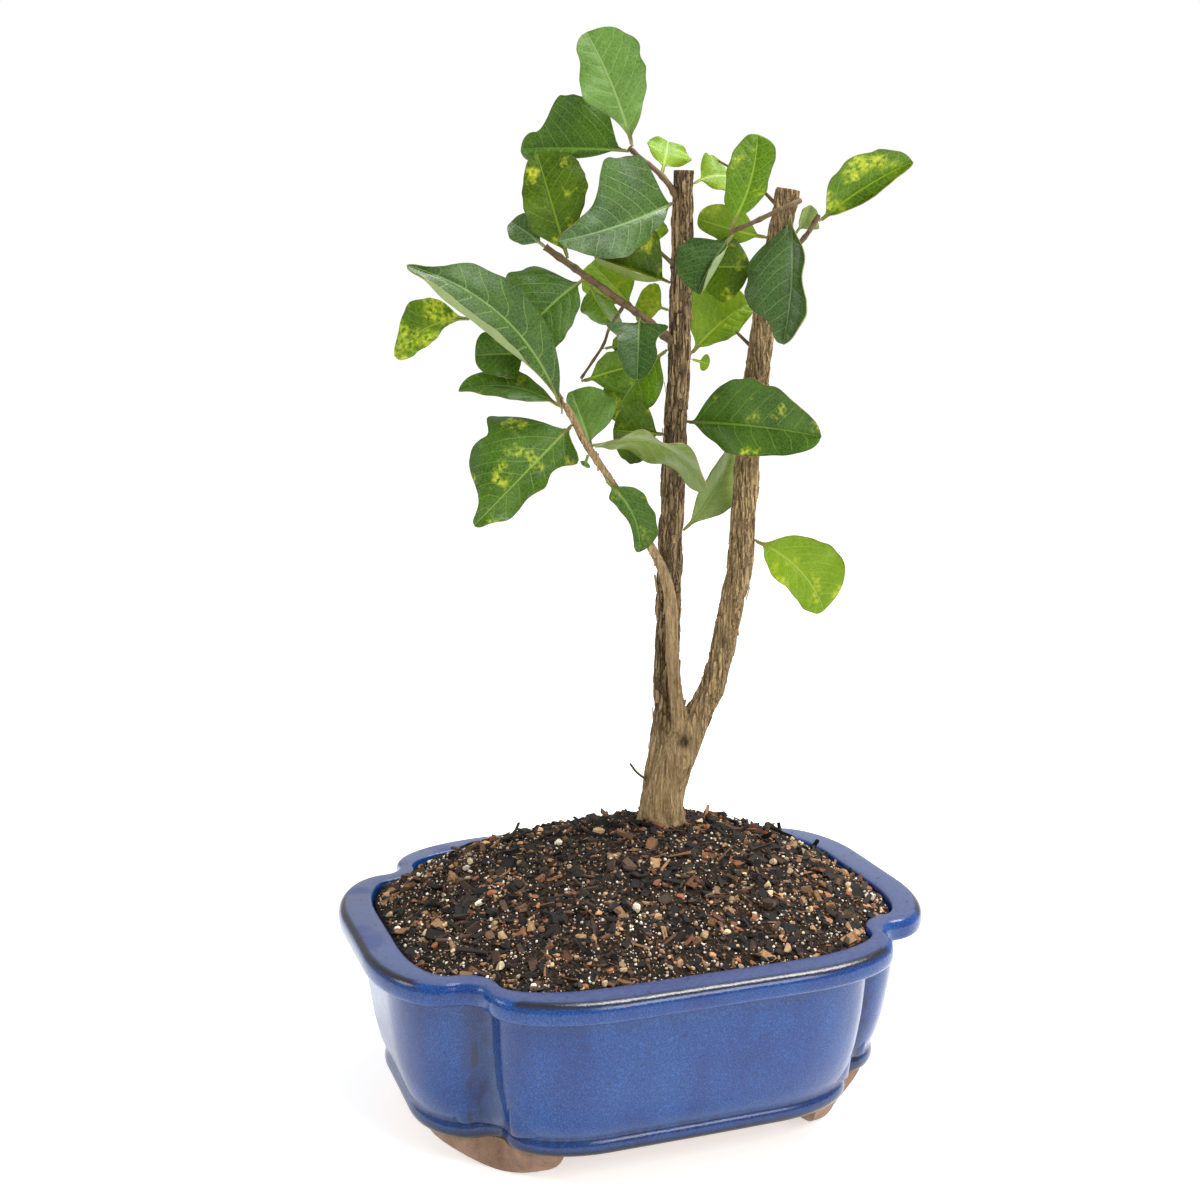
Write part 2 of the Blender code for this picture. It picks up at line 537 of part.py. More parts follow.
def clear_of(route, parent):
    """The route without the stretch that would be inside its parent, so that it starts at the bark."""
    steps = [(Vector(b[:3]) - Vector(a[:3])).length for a, b in zip(route, route[1:])]
    gone = 0.0
    place, radius, _ = place_on(route, gone)
    while gone < 1 and distance_outside(parent, place) <= radius + GAP:
        gone += CLEARING_STEP
        place, radius, _ = place_on(route, gone)
    kept = [(*place, radius)]
    run = 0.0
    for step, point in zip(steps, route[1:]):
        run += step
        if run > gone * sum(steps) + SHORTEST_STRETCH:
            kept.append(point)
    return kept


def build_twigs(parts, bark, routes):
    for name, (parent, route) in TWIGS.items():
        routes[name] = clear_of(in_world(route), routes[parent])
        tube(name, routes[name], TWIG_SIDES, bark, parts)


# ---- leaves -----------------------------------------------------------------------------------

def half_width(most, along, length, widest):
    """How wide one half of a leaf is at a distance along it: a short stalk, then an oval blade."""
    blade = (along - PETIOLE_LENGTH) / (length - PETIOLE_LENGTH)
    if blade <= 0:
        return PETIOLE_WIDTH / 2
    if blade >= 1:
        return TIP_WIDTH / 2
    oval = math.sin(math.pi * blade ** (math.log(0.5) / math.log(widest))) ** LEAF_FULLNESS
    return max(most * oval, PETIOLE_WIDTH / 2 if blade < 0.5 else TIP_WIDTH / 2)


def leaf_point(leaf, share, across):
    """A point of the blade in its own frame: X along it, Y to its left, Z out of its upper face."""
    length, left_most, right_most, arch, sway, left_fold, right_fold, twist, wave, widest = leaf[5:]
    first = 1 / LEAF_STEPS
    if share <= first:
        along = PETIOLE_LENGTH * share / first
    else:
        along = PETIOLE_LENGTH + (length - PETIOLE_LENGTH) * (share - first) / (1 - first)
    part = along / length
    bulge = 4 * part * (1 - part)
    reach = abs(across) * half_width(left_most if across > 0 else right_most, along, length, widest)
    fold = math.radians(left_fold if across > 0 else right_fold)
    side = math.copysign(reach * math.cos(fold), across)
    lift = reach * math.sin(fold) + wave * math.sin(2 * math.pi * LEAF_WAVES * part) * across ** 2
    turn = math.radians(twist) * (part - 0.5)
    y = side * math.cos(turn) - lift * math.sin(turn) + sway * length * bulge
    z = side * math.sin(turn) + lift * math.cos(turn) + arch * length * bulge
    return mm(along, y, z)


def build_leaf(name, leaf, finish, parts, routes):
    holder, share, heading, pitch, roll = leaf[:5]
    shape = bmesh.new()
    bmesh.ops.create_grid(shape, x_segments=LEAF_STEPS, y_segments=LEAF_STRIPS, size=1)
    for vert in shape.verts:
        vert.co = leaf_point(leaf, (vert.co.x + 1) / 2, vert.co.y)
    mesh = bpy.data.meshes.new(name)
    shape.to_mesh(mesh)
    shape.free()
    mesh.shade_smooth()
    blade = mesh_object(name, mesh, finish, parts)
    turn = Euler((math.radians(roll), -math.radians(pitch), math.radians(heading)))
    place, radius, tangent = place_on(routes[holder], share)
    ahead = turn.to_matrix() @ Vector((1, 0, 0))
    outward = (ahead - tangent * ahead.dot(tangent)).normalized()
    blade.location = mm(*(place + outward * (radius + GAP + PETIOLE_WIDTH / 2)))
    blade.rotation_euler = turn
    body = blade.modifiers.new("thickness", "SOLIDIFY")
    body.thickness = mm(LEAF_THICKNESS)
    body.offset = 0


# ---- the whole object -------------------------------------------------------------------------

def main():
    clear_scene()
    parts = collection("bonsai")
    cutters = collection("cutters")
    build_pot(parts, cutters)
    rooms = build_screens(parts, cutters)
    bark = material("bark", (0.30, 0.19, 0.11), 0.85)
    stump = build_trunk(parts, cutters, bark)
    build_soil(parts, cutters, rooms, stump)
    routes = {
        "left_stem": in_world(LEFT_STEM), "right_stem": in_world(RIGHT_STEM),
        "front_stem": in_world(FRONT_STEM),
    }
    build_twigs(parts, bark, routes)
    green = material("leaf_green", (0.08, 0.25, 0.04), 0.45)
    for name, leaf in LEAVES.items():
        build_leaf(name, leaf, green, parts, routes)


main()
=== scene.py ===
import json
import math

import bmesh
import bpy
import numpy as np
from mathutils import Euler, Matrix, Vector, noise

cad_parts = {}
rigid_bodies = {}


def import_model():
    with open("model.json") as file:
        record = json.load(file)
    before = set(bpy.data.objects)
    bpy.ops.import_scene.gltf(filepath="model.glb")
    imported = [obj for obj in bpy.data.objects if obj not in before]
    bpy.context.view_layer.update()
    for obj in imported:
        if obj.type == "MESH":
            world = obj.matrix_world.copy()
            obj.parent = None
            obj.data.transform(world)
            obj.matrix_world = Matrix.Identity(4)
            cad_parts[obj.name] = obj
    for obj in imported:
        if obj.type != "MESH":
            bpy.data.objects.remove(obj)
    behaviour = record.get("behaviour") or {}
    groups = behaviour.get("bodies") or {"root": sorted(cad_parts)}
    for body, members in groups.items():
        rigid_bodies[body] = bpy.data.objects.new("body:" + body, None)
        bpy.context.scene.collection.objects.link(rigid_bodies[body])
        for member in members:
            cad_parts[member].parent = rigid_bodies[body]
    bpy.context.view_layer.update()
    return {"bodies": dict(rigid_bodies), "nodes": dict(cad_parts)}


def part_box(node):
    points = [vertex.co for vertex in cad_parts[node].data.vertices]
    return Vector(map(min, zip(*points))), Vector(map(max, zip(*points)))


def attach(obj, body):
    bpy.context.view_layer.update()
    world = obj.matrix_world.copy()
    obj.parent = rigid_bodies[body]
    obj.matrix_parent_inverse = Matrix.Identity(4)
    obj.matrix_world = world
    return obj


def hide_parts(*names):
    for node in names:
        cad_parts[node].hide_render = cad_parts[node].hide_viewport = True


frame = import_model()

body = sorted(frame["bodies"])[0]
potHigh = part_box("pot")[1]
dice = np.random.default_rng(7)


# ways of working that every piece uses

def mm(*values):
    return values[0] / 1000 if len(values) == 1 else Vector(values) / 1000


def dropSelection():
    if bpy.context.object and bpy.context.object.mode != "OBJECT":
        bpy.ops.object.mode_set(mode="OBJECT")
    bpy.ops.object.select_all(action="DESELECT")


def pick(obj):
    dropSelection()
    obj.select_set(True)
    bpy.context.view_layer.objects.active = obj


def applyModifier(obj, kind, **settings):
    pick(obj)
    change = obj.modifiers.new(kind.lower(), kind)
    for key, value in settings.items():
        setattr(change, key, value)
    bpy.ops.object.modifier_apply(modifier=change.name)


def smooth(obj, degrees):
    pick(obj)
    bpy.ops.object.shade_smooth_by_angle(angle=math.radians(degrees))


def settle(obj):
    pick(obj)
    bpy.ops.object.transform_apply(location=True, rotation=True, scale=True)


def finishPiece(obj, name, replaced=(), materials=()):
    obj.name = name
    obj.data.name = name
    for material in materials:
        obj.data.materials.append(material)
    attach(obj, body)
    if replaced:
        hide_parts(*replaced)
    return obj


def joined(objects):
    dropSelection()
    for obj in objects:
        obj.select_set(True)
    bpy.context.view_layer.objects.active = objects[0]
    bpy.ops.object.join()
    return bpy.context.object


def placeKey(point):
    # a point's place to a ten thousandth of a millimetre, by which it is found again
    return tuple(round(n * 1e7) for n in point)


def liftRings(rings):
    # a filled circle is pulled up ring by ring, and each new edge loop is laid on its ring
    dropSelection()
    bpy.ops.mesh.primitive_circle_add(vertices=len(rings[0]), radius=mm(50), fill_type="NGON")
    obj = bpy.context.object
    bpy.ops.object.mode_set(mode="EDIT")
    shape = bmesh.from_edit_mesh(obj.data)
    order = sorted(shape.verts, key=lambda vert: math.atan2(vert.co.y, vert.co.x) % math.tau)
    for vert, place in zip(order, rings[0]):
        vert.co = place
    bmesh.update_edit_mesh(obj.data)
    for ring, above in zip(rings, rings[1:]):
        bpy.ops.mesh.select_mode(type="FACE")
        bpy.ops.mesh.extrude_region_move()
        shape = bmesh.from_edit_mesh(obj.data)
        at = {placeKey(place): i for i, place in enumerate(ring)}
        for vert in shape.verts:
            if vert.select:
                vert.co = above[at[placeKey(vert.co)]]
        bmesh.update_edit_mesh(obj.data)
    bpy.ops.mesh.select_all(action="SELECT")
    bpy.ops.mesh.normals_make_consistent(inside=False)
    bpy.ops.object.mode_set(mode="OBJECT")
    return obj


def exact(rings):
    # single precision, as mesh points are, so that a ring can be found again by place
    return [[Vector(tuple(float(np.float32(n)) for n in point)) for point in ring] for ring in rings]


# node trees

def linear(step):
    share = step / 255
    return share / 12.92 if step < 11 else ((share + 0.055) / 1.055) ** 2.4


def paint(red, green, blue):
    # a screen colour, each channel 0 to 255, made linear
    return linear(red), linear(green), linear(blue), 1


def put(tree, kind, values=None, **settings):
    made = tree.nodes.new("ShaderNode" + kind)
    for key, value in settings.items():
        setattr(made, key, value)
    for key, value in (values or {}).items():
        if isinstance(value, bpy.types.NodeSocket):
            tree.links.new(value, made.inputs[key])
        else:
            made.inputs[key].default_value = value
    return made


def maths(tree, operation, *values, clamp=False):
    return put(tree, "Math", dict(enumerate(values)), operation=operation, use_clamp=clamp).outputs[0]


def blend(tree, factor, first, second, way="MIX"):
    return put(tree, "Mix", {0: factor, 6: first, 7: second}, data_type="RGBA", blend_type=way).outputs[2]


def touch(tree, colour, amount, share, goal):
    # the colour goes up to that share of the way to the goal, where the amount is full
    return blend(tree, maths(tree, "MULTIPLY", amount, share), colour, goal)


def ramp(tree, value, stops):
    made = put(tree, "ValToRGB", {0: value})
    while len(made.color_ramp.elements) < len(stops):
        made.color_ramp.elements.new(0.5)
    for element, (place, colour) in zip(made.color_ramp.elements, stops):
        element.position = place
        element.color = colour
    return made.outputs[0]


def span(tree, value, low, high, toLow=0.0, toHigh=1.0):
    return put(tree, "MapRange", {0: value, 1: low, 2: high, 3: toLow, 4: toHigh}).outputs[0]


def newGroup(name, inputs, outputs):
    group = bpy.data.node_groups.new(name, "ShaderNodeTree")
    for label, kind, value in inputs:
        socket = group.interface.new_socket(label, in_out="INPUT", socket_type="NodeSocket" + kind)
        if value is not None:
            socket.default_value = value
    for label, kind in outputs:
        group.interface.new_socket(label, in_out="OUTPUT", socket_type="NodeSocket" + kind)
    start = group.nodes.new("NodeGroupInput")
    end = group.nodes.new("NodeGroupOutput")
    return group, start.outputs, end.inputs


def useGroup(tree, group, values):
    return put(tree, "Group", values, node_tree=group).outputs


def makeMottle():
    # soft patches between 0 and 1 at a chosen size and contrast, stretched along one axis
    group, given, out = newGroup(
        "mottle",
        (("Vector", "Vector", None), ("Size mm", "Float", 1.0), ("Stretch", "Vector", (1, 1, 1)),
         ("Low", "Float", 0.35), ("High", "Float", 0.65), ("Detail", "Float", 3.0)),
        (("Value", "Float"),))
    perMetre = maths(group, "DIVIDE", 1000.0, given["Size mm"])
    scaled = put(group, "VectorMath", {0: given["Vector"], 1: given["Stretch"]}, operation="MULTIPLY")
    cloud = put(group, "TexNoise", {
        "Vector": scaled.outputs[0], "Scale": perMetre, "Detail": given["Detail"]})
    group.links.new(span(group, cloud.outputs[0], given["Low"], given["High"]), out["Value"])
    return group


def newMaterial(name, **constants):
    material = bpy.data.materials.new(name)
    material.use_nodes = True
    tree = material.node_tree
    shader = tree.nodes["Principled BSDF"]
    for key, value in constants.items():
        shader.inputs[key.replace("_", " ")].default_value = value
    place = put(tree, "TexCoord").outputs["Object"]
    return material, tree, shader, place


def bumpFrom(tree, shader, height, strength, distance):
    bump = put(tree, "Bump", {"Height": height, "Strength": strength, "Distance": distance})
    tree.links.new(bump.outputs[0], shader.inputs["Normal"])


mottle = makeMottle()


def mottled(tree, place, size, low=0.35, high=0.65, stretch=(1, 1, 1), detail=3.0):
    return useGroup(tree, mottle, {
        "Vector": place, "Size mm": size, "Low": low, "High": high, "Stretch": stretch, "Detail": detail})[0]


# the pot: a lobed wall with a rolled lip above and a bead below

pot = {
    "halfLength": potHigh.x, "halfWidth": potHigh.y, "height": potHigh.z,
    "footHeight": mm(12.5), "floor": mm(5), "lip": mm(8), "bead": mm(5.5),
    "wallLean": mm(9), "baseInset": (mm(16), mm(18.5), mm(10), mm(13)),
    "openingInset": (mm(12.5), mm(12), mm(5), mm(8)), "rimFillet": mm(9), "wallFillet": mm(6),
    "notchAt": (0.7, 0.646), "straight": (0.3, 0.195), "innerFillet": mm(9) * 1.3, "fit": mm(0.3),
    "cornerPoints": 20, "filletPoints": 8, "longPoints": 9, "shortPoints": 5,
    "unevenness": mm(0.25), "drainX": mm(34), "drainRadius": mm(6),
}
# share of the base's inset and share of the height, from the underside to the lip's top
wallSteps = {
    "bead": ((1.03, 0.0), (0.985, 0.02), (0.955, 0.1), (0.925, 0.28), (0.91, 0.5), (0.918, 0.72),
             (0.94, 0.88), (0.972, 1.0)),
    "body": ((0.968, 0.02), (0.93, 0.05), (0.895, 0.08), (0.83, 0.14), (0.765, 0.22), (0.70, 0.31),
             (0.645, 0.42), (0.59, 0.54), (0.552, 0.65), (0.524, 0.76), (0.505, 0.86), (0.495, 0.94),
             (0.50, 0.985)),
    "lip": ((0.49, 0.0), (0.40, 0.012), (0.17, 0.02), (0.075, 0.05), (0.03, 0.12), (0.008, 0.22), (0.0, 0.38),
            (0.0, 0.52), (0.006, 0.64), (0.022, 0.74), (0.05, 0.83), (0.09, 0.9), (0.135, 0.952), (0.185, 0.982),
            (0.24, 0.996)),
}
# across the rim's top from the lip to the opening, and how far it has dropped there, in millimetres
rimCrown = ((0.15, 0.0), (0.5, 0.0), (0.75, 0.12), (0.9, 0.35), (0.97, 0.8), (1.0, 1.6), (1.01, 2.6))
notchIndex = pot["shortPoints"] + pot["cornerPoints"] + pot["filletPoints"] // 2


def quarterTurn(centre, radii, start, count):
    turn = math.pi / 2 if start > math.pi / 2 else -math.pi / 2
    return [
        (centre[0] + radii[0] * math.cos(start + turn * i / count),
         centre[1] + radii[1] * math.sin(start + turn * i / count))
        for i in range(count)
    ]


def lobedOutline(insets, fillet):
    end, side, notchInX, notchInY = insets
    length = pot["halfLength"] - end
    width = pot["halfWidth"] - side
    notchX = pot["notchAt"][0] * pot["halfLength"] - notchInX
    notchY = pot["notchAt"][1] * pot["halfWidth"] - notchInY
    longStraight = pot["straight"][0] * pot["halfLength"]
    shortStraight = pot["straight"][1] * pot["halfWidth"]
    quarter = [(length, shortStraight * i / pot["shortPoints"]) for i in range(pot["shortPoints"])]
    lobe = quarterTurn(
        (notchX + fillet, shortStraight), (length - notchX - fillet, notchY - shortStraight), math.pi / 2,
        pot["cornerPoints"])
    quarter += [(length, shortStraight)] + lobe[:0:-1] + [lobe[0]]
    bend = quarterTurn((notchX + fillet, notchY + fillet), (fillet, fillet), math.pi, pot["filletPoints"])
    quarter += bend[:0:-1] + [bend[0]]
    lobe = quarterTurn(
        (longStraight, notchY + fillet), (notchX - longStraight, width - notchY - fillet), math.pi / 2,
        pot["cornerPoints"])
    quarter += lobe[:0:-1] + [lobe[0]]
    quarter += [(longStraight * (1 - i / pot["longPoints"]), width) for i in range(1, pot["longPoints"])]
    half = quarter + [(0, width)] + [(-x, y) for x, y in quarter[:0:-1]]
    return half + [(-x, -y) for x, y in half]


def innerInsets(depth, clearance=0.0):
    lean = pot["wallLean"] * depth
    end, side, notchInX, notchInY = pot["openingInset"]
    return (end + lean + clearance, side + lean + clearance, notchInX + lean / 2 + clearance,
            notchInY + lean / 2 + clearance)


def uneven(x, y, z):
    # thrown and pressed clay is never quite true
    return pot["unevenness"] * noise.noise(Vector((x, y, z)) * 22)


def potRings():
    base = pot["footHeight"]
    beadTop = base + pot["bead"]
    lipFoot = pot["height"] - pot["lip"]
    rings = []
    zones = ((base, beadTop, "bead"), (beadTop, lipFoot, "body"), (lipFoot, pot["height"], "lip"))
    for low, high, name in zones:
        for share, rise in wallSteps[name]:
            insets = tuple(share * inset for inset in pot["baseInset"])
            fillet = pot["rimFillet"] if name == "lip" and share < 0.45 else pot["wallFillet"]
            amount = 0 if name == "lip" and share < 0.2 else 1
            ring = []
            for x, y in lobedOutline(insets, fillet):
                z = low + (high - low) * rise
                push = 1 - amount * uneven(x, y, z) / math.hypot(x, y)
                ring.append((x * push, y * push, z))
            rings.append(ring)
    # the top face of the rim crowns a little, and its inner edge is rounded
    outer = tuple(0.24 * inset for inset in pot["baseInset"])
    for across, drop in rimCrown:
        insets = tuple(a + (b - a) * across for a, b in zip(outer, innerInsets(0)))
        fillet = pot["rimFillet"] * (1 + 0.3 * across)
        rings.append([(x, y, pot["height"] - mm(drop)) for x, y in lobedOutline(insets, fillet)])
    floorTop = pot["footHeight"] + pot["floor"]
    fillet = pot["innerFillet"]
    for depth in (0.08, 0.3, 0.6, 0.9, 0.97):
        z = pot["height"] + (floorTop - pot["height"]) * depth
        rings.append([(x, y, z) for x, y in lobedOutline(innerInsets(depth), fillet)])
    rings.append([(x, y, floorTop) for x, y in lobedOutline(innerInsets(1.2), fillet)])
    return exact(rings)


# bands round the pot: amount, height over the wall's foot or over the lip's foot, and spread
glazeBands = {
    "thinByLip": (1.0, mm(-1.3), mm(1.1)), "thinOverBead": (0.5, mm(7.6), mm(1.8)),
    "pooledOverBead": (1.0, mm(5.9), mm(0.7)), "pooledByLip": (0.9, mm(0.2), mm(0.5)),
    "pooledOnBead": (0.6, mm(3.2), mm(1.8)), "brownFoot": (1.0, mm(1.3), mm(0.8)),
}
# runs beside a notch: how far into the end lobe, spread across and spread along
glazeRuns = {"notchInset": (mm(6), mm(7)), "crease": (mm(5), mm(4.5), mm(10)),
             "ridge": (mm(-1), mm(2.4), mm(5)), "ridgeShare": 0.7}
glazeRim = {"topWithin": mm(0.5), "topFacing": 0.7, "edgeDrop": mm(0.9), "edgeFacing": 0.96,
            "innerHalf": (potHigh.x - mm(11), potHigh.y - mm(11))}


def band(height, name):
    amount, middle, spread = glazeBands[name]
    return amount * math.exp(-((height - middle) / spread) ** 2)


def run(off, name):
    middle, spread, fall = glazeRuns[name]
    return math.exp(-((off.x - middle) / spread) ** 2 - (off.y / fall) ** 2)


def shadeGlaze(obj):
    # where the glaze runs thin it pales, where it pools it darkens, and it breaks brown on sharp edges
    points = obj.data.vertices
    tone = obj.data.attributes.new("glazeTone", "FLOAT_COLOR", "POINT")
    lipFoot = pot["height"] - pot["lip"]
    base = pot["footHeight"]
    notch = Vector((pot["notchAt"][0] * pot["halfLength"] - glazeRuns["notchInset"][0],
                    pot["notchAt"][1] * pot["halfWidth"] - glazeRuns["notchInset"][1]))
    values = np.zeros((len(points), 4), np.float32)
    for i, vert in enumerate(points):
        x, y, z = vert.co
        up, over = z - base, z - lipFoot
        thin = band(over, "thinByLip") + band(up, "thinOverBead")
        pooled = band(up, "pooledOverBead") + band(over, "pooledByLip") + band(up, "pooledOnBead")
        if base < z < lipFoot:
            # the run of dark glaze hangs in the end lobe, just beside the notch
            off = Vector((abs(x), abs(y))) - notch
            pooled += run(off, "crease")
            thin += glazeRuns["ridgeShare"] * run(off, "ridge")
        brown = 1.0 if up < glazeBands["brownFoot"][1] else band(up, "brownFoot")
        facing = vert.normal.z
        onTop = 1.0 if z > pot["height"] - glazeRim["topWithin"] and facing > glazeRim["topFacing"] else 0.0
        inside = abs(x) < glazeRim["innerHalf"][0] and abs(y) < glazeRim["innerHalf"][1]
        edge = 0.0
        if facing < glazeRim["edgeFacing"] and not (inside and z > lipFoot):
            edge = math.exp(-((pot["height"] - z - glazeRim["edgeDrop"]) / glazeRim["edgeDrop"]) ** 2)
        values[i] = (min(1, thin), min(1, pooled), min(1, max(brown, edge)), onTop)
    tone.data.foreach_set("color", values.ravel())


def makeGlaze():
    material, tree, shader, place = newMaterial("blueGlaze", Specular_IOR_Level=0.46)
    tone = put(tree, "Attribute", attribute_name="glazeTone")
    parts = put(tree, "SeparateColor", {0: tone.outputs["Color"]}).outputs
    fine = mottled(tree, place, 0.45, 0.32, 0.68, (1, 1, 0.85), 4.0)
    broad = mottled(tree, place, 16, 0.32, 0.68, (1, 1, 0.5))
    blue = ramp(tree, fine, ((0.0, paint(6, 42, 98)), (0.5, paint(14, 62, 126)), (1.0, paint(38, 90, 154))))
    deep = blend(tree, 1.0, blue, paint(186, 198, 222), "MULTIPLY")
    blue = blend(tree, broad, deep, blue)
    blue = touch(tree, blue, parts[0], 0.6, paint(84, 102, 128))
    spots = mottled(tree, place, 2.6, 0.46, 0.6, (1, 1, 0.45), 5.0)
    pooled = maths(tree, "MULTIPLY", parts[1], maths(tree, "ADD", 0.5, maths(tree, "MULTIPLY", spots, 0.5)))
    blue = blend(tree, pooled, blue, paint(20, 30, 62))
    rim = blend(tree, mottled(tree, place, 1.1, 0.3, 0.7), paint(50, 64, 108), paint(68, 80, 120))
    # the rim is painted greyer towards its far side
    back = put(tree, "SeparateXYZ", {0: place}).outputs[1]
    rim = blend(tree, span(tree, back, -0.07, 0.05, 0.0, 0.75), rim, paint(94, 104, 132))
    stain = mottled(tree, place, 30, 0.57, 0.63, (1, 1, 1), 2.0)
    rim = touch(tree, rim, stain, 0.5, paint(30, 48, 108))
    specks = mottled(tree, place, 2.2, 0.66, 0.7, (1, 1, 1), 2.0)
    rim = touch(tree, rim, specks, 0.7, paint(24, 26, 50))
    blue = blend(tree, tone.outputs["Alpha"], blue, rim)
    broken = maths(tree, "MULTIPLY", parts[2], mottled(tree, place, 5, 0.1, 0.36), clamp=True)
    colour = blend(tree, broken, blue, paint(30, 26, 19))
    tree.links.new(colour, shader.inputs["Base Color"])
    rough = span(tree, parts[2], 0.0, 1.0, 0.16, 0.07)
    rough = maths(tree, "ADD", rough, maths(tree, "MULTIPLY", tone.outputs["Alpha"], 0.14))
    tree.links.new(rough, shader.inputs["Roughness"])
    grain = maths(tree, "ADD", fine, maths(tree, "MULTIPLY", mottled(tree, place, 6), 2.0))
    bumpFrom(tree, shader, grain, 0.2, mm(0.1))
    return material


def makeClay():
    material, tree, shader, place = newMaterial("footClay", Roughness=0.85)
    patches = mottled(tree, place, 5, 0.3, 0.7, (1, 1, 0.6))
    grit = mottled(tree, place, 0.7, 0.58, 0.7)
    colour = blend(tree, patches, paint(118, 92, 74), paint(152, 120, 96))
    colour = touch(tree, colour, grit, 0.55, paint(70, 52, 42))
    tree.links.new(colour, shader.inputs["Base Color"])
    bumpFrom(tree, shader, maths(tree, "ADD", grit, patches), 0.4, mm(0.2))
    return material


def buildPot(glaze, clay):
    obj = liftRings(potRings())
    for side in (-1, 1):
        dropSelection()
        bpy.ops.mesh.primitive_cylinder_add(
            vertices=48, radius=pot["drainRadius"], depth=4 * pot["floor"],
            location=(side * pot["drainX"], 0, pot["footHeight"] + pot["floor"] / 2))
        drill = bpy.context.object
        applyModifier(obj, "BOOLEAN", object=drill, operation="DIFFERENCE")
        bpy.data.objects.remove(drill)
    smooth(obj, 50)
    shadeGlaze(obj)
    finishPiece(obj, "glazedPot", ["pot"], (glaze, clay))
    for face in obj.data.polygons:
        if face.normal.z < -0.7 and face.center.z < pot["footHeight"] + mm(0.3):
            face.material_index = 1
    return obj


# four low feet, each hugging one notch of the wall

foot = {"reach": mm(27), "depth": mm(17), "setBack": mm(0.9), "padInset": mm(7.5),
        "padHalf": (mm(9.5), mm(6)), "points": 30, "into": mm(1.2)}
footSteps = ((0.0, 1.0), (0.05, 0.86), (0.13, 0.7), (0.24, 0.54), (0.37, 0.4), (0.52, 0.26), (0.68, 0.14),
             (0.83, 0.05), (0.94, 0.012), (1.0, 0.0))


def footPath():
    outline = [Vector(point) for point in lobedOutline(pot["baseInset"], pot["wallFillet"])]
    last = pot["shortPoints"] + 2 * pot["cornerPoints"] + pot["filletPoints"] + pot["longPoints"] + 1
    points = outline[:last]
    lengths = [0.0]
    for a, b in zip(points, points[1:]):
        lengths.append(lengths[-1] + (b - a).length)
    return points, [distance - lengths[notchIndex] for distance in lengths]


def footRings(flipX, flipY):
    points, along = footPath()
    into = Vector((-1, -1)).normalized()
    sideways = Vector((-1, 1)).normalized()
    outside = []
    count = foot["points"]
    for i in range(count + 1):
        goal = foot["reach"] * (2 * i / count - 1)
        k = max(j for j in range(len(along) - 1) if along[j] <= goal)
        share = (goal - along[k]) / (along[k + 1] - along[k])
        tangent = (points[k + 1] - points[k]).normalized()
        inward = (Vector((-tangent.y, tangent.x)) + into).normalized()
        outside.append(points[k].lerp(points[k + 1], share) + inward * foot["setBack"])
    notch = points[notchIndex]
    deep = notch + into * foot["depth"] * 2
    first, last = outside[0], outside[-1]
    inside = [
        last.lerp(deep, i / count).lerp(deep.lerp(first, i / count), i / count) for i in range(1, count)]
    top = outside + inside
    middle = notch + into * foot["padInset"]
    pad = []
    for i in range(len(top)):
        angle = math.pi * (1 + i / count)
        wide = sideways * foot["padHalf"][0] * math.cos(angle)
        pad.append(middle + wide + into * foot["padHalf"][1] * math.sin(angle))
    rings = [[(p.x * flipX, p.y * flipY, pot["footHeight"] + foot["into"]) for p in top]]
    for share, height in footSteps:
        ring = [p.lerp(q, share) for p, q in zip(top, pad)]
        rings.append([(p.x * flipX, p.y * flipY, height * pot["footHeight"]) for p in ring])
    return exact(rings)


def buildFeet(clay):
    for number, (flipX, flipY) in enumerate(((1, 1), (-1, 1), (-1, -1), (1, -1)), 1):
        obj = liftRings(footRings(flipX, flipY))
        smooth(obj, 60)
        finishPiece(obj, f"clayFoot_{number}", (), (clay,))


# the soil: a heaped surface, with grit, bark and stones laid on it

soil = {"edgeDrop": mm(2.5), "mound": mm(21.3), "roundness": 1.7, "tree": (mm(17.5), mm(15)), "rings": 46,
        "lumps": mm(1.6)}
moundEdge = pot["height"] - soil["edgeDrop"]


def moundOutline():
    depth = soil["edgeDrop"] / (pot["height"] - pot["footHeight"] - pot["floor"])
    return lobedOutline(innerInsets(depth, pot["fit"]), pot["innerFillet"])


def moundHeight(share):
    rise = soil["mound"] + soil["edgeDrop"]
    return moundEdge + rise * (1 - (1 - share) ** soil["roundness"])


def lumpiness(x, y):
    big = noise.noise(Vector((x, y, 0.3)) * 75) * 0.6
    small = noise.noise(Vector((x, y, 2.1)) * 260) * 0.55
    return soil["lumps"] * (big + small)


def surfaceHeight(x, y, share):
    # the lumps fade towards the pot's wall and close to the trunk
    calm = min(1.0, 6 * share) if share < 0.9 else 0.4
    return moundHeight(share) + lumpiness(x, y) * calm


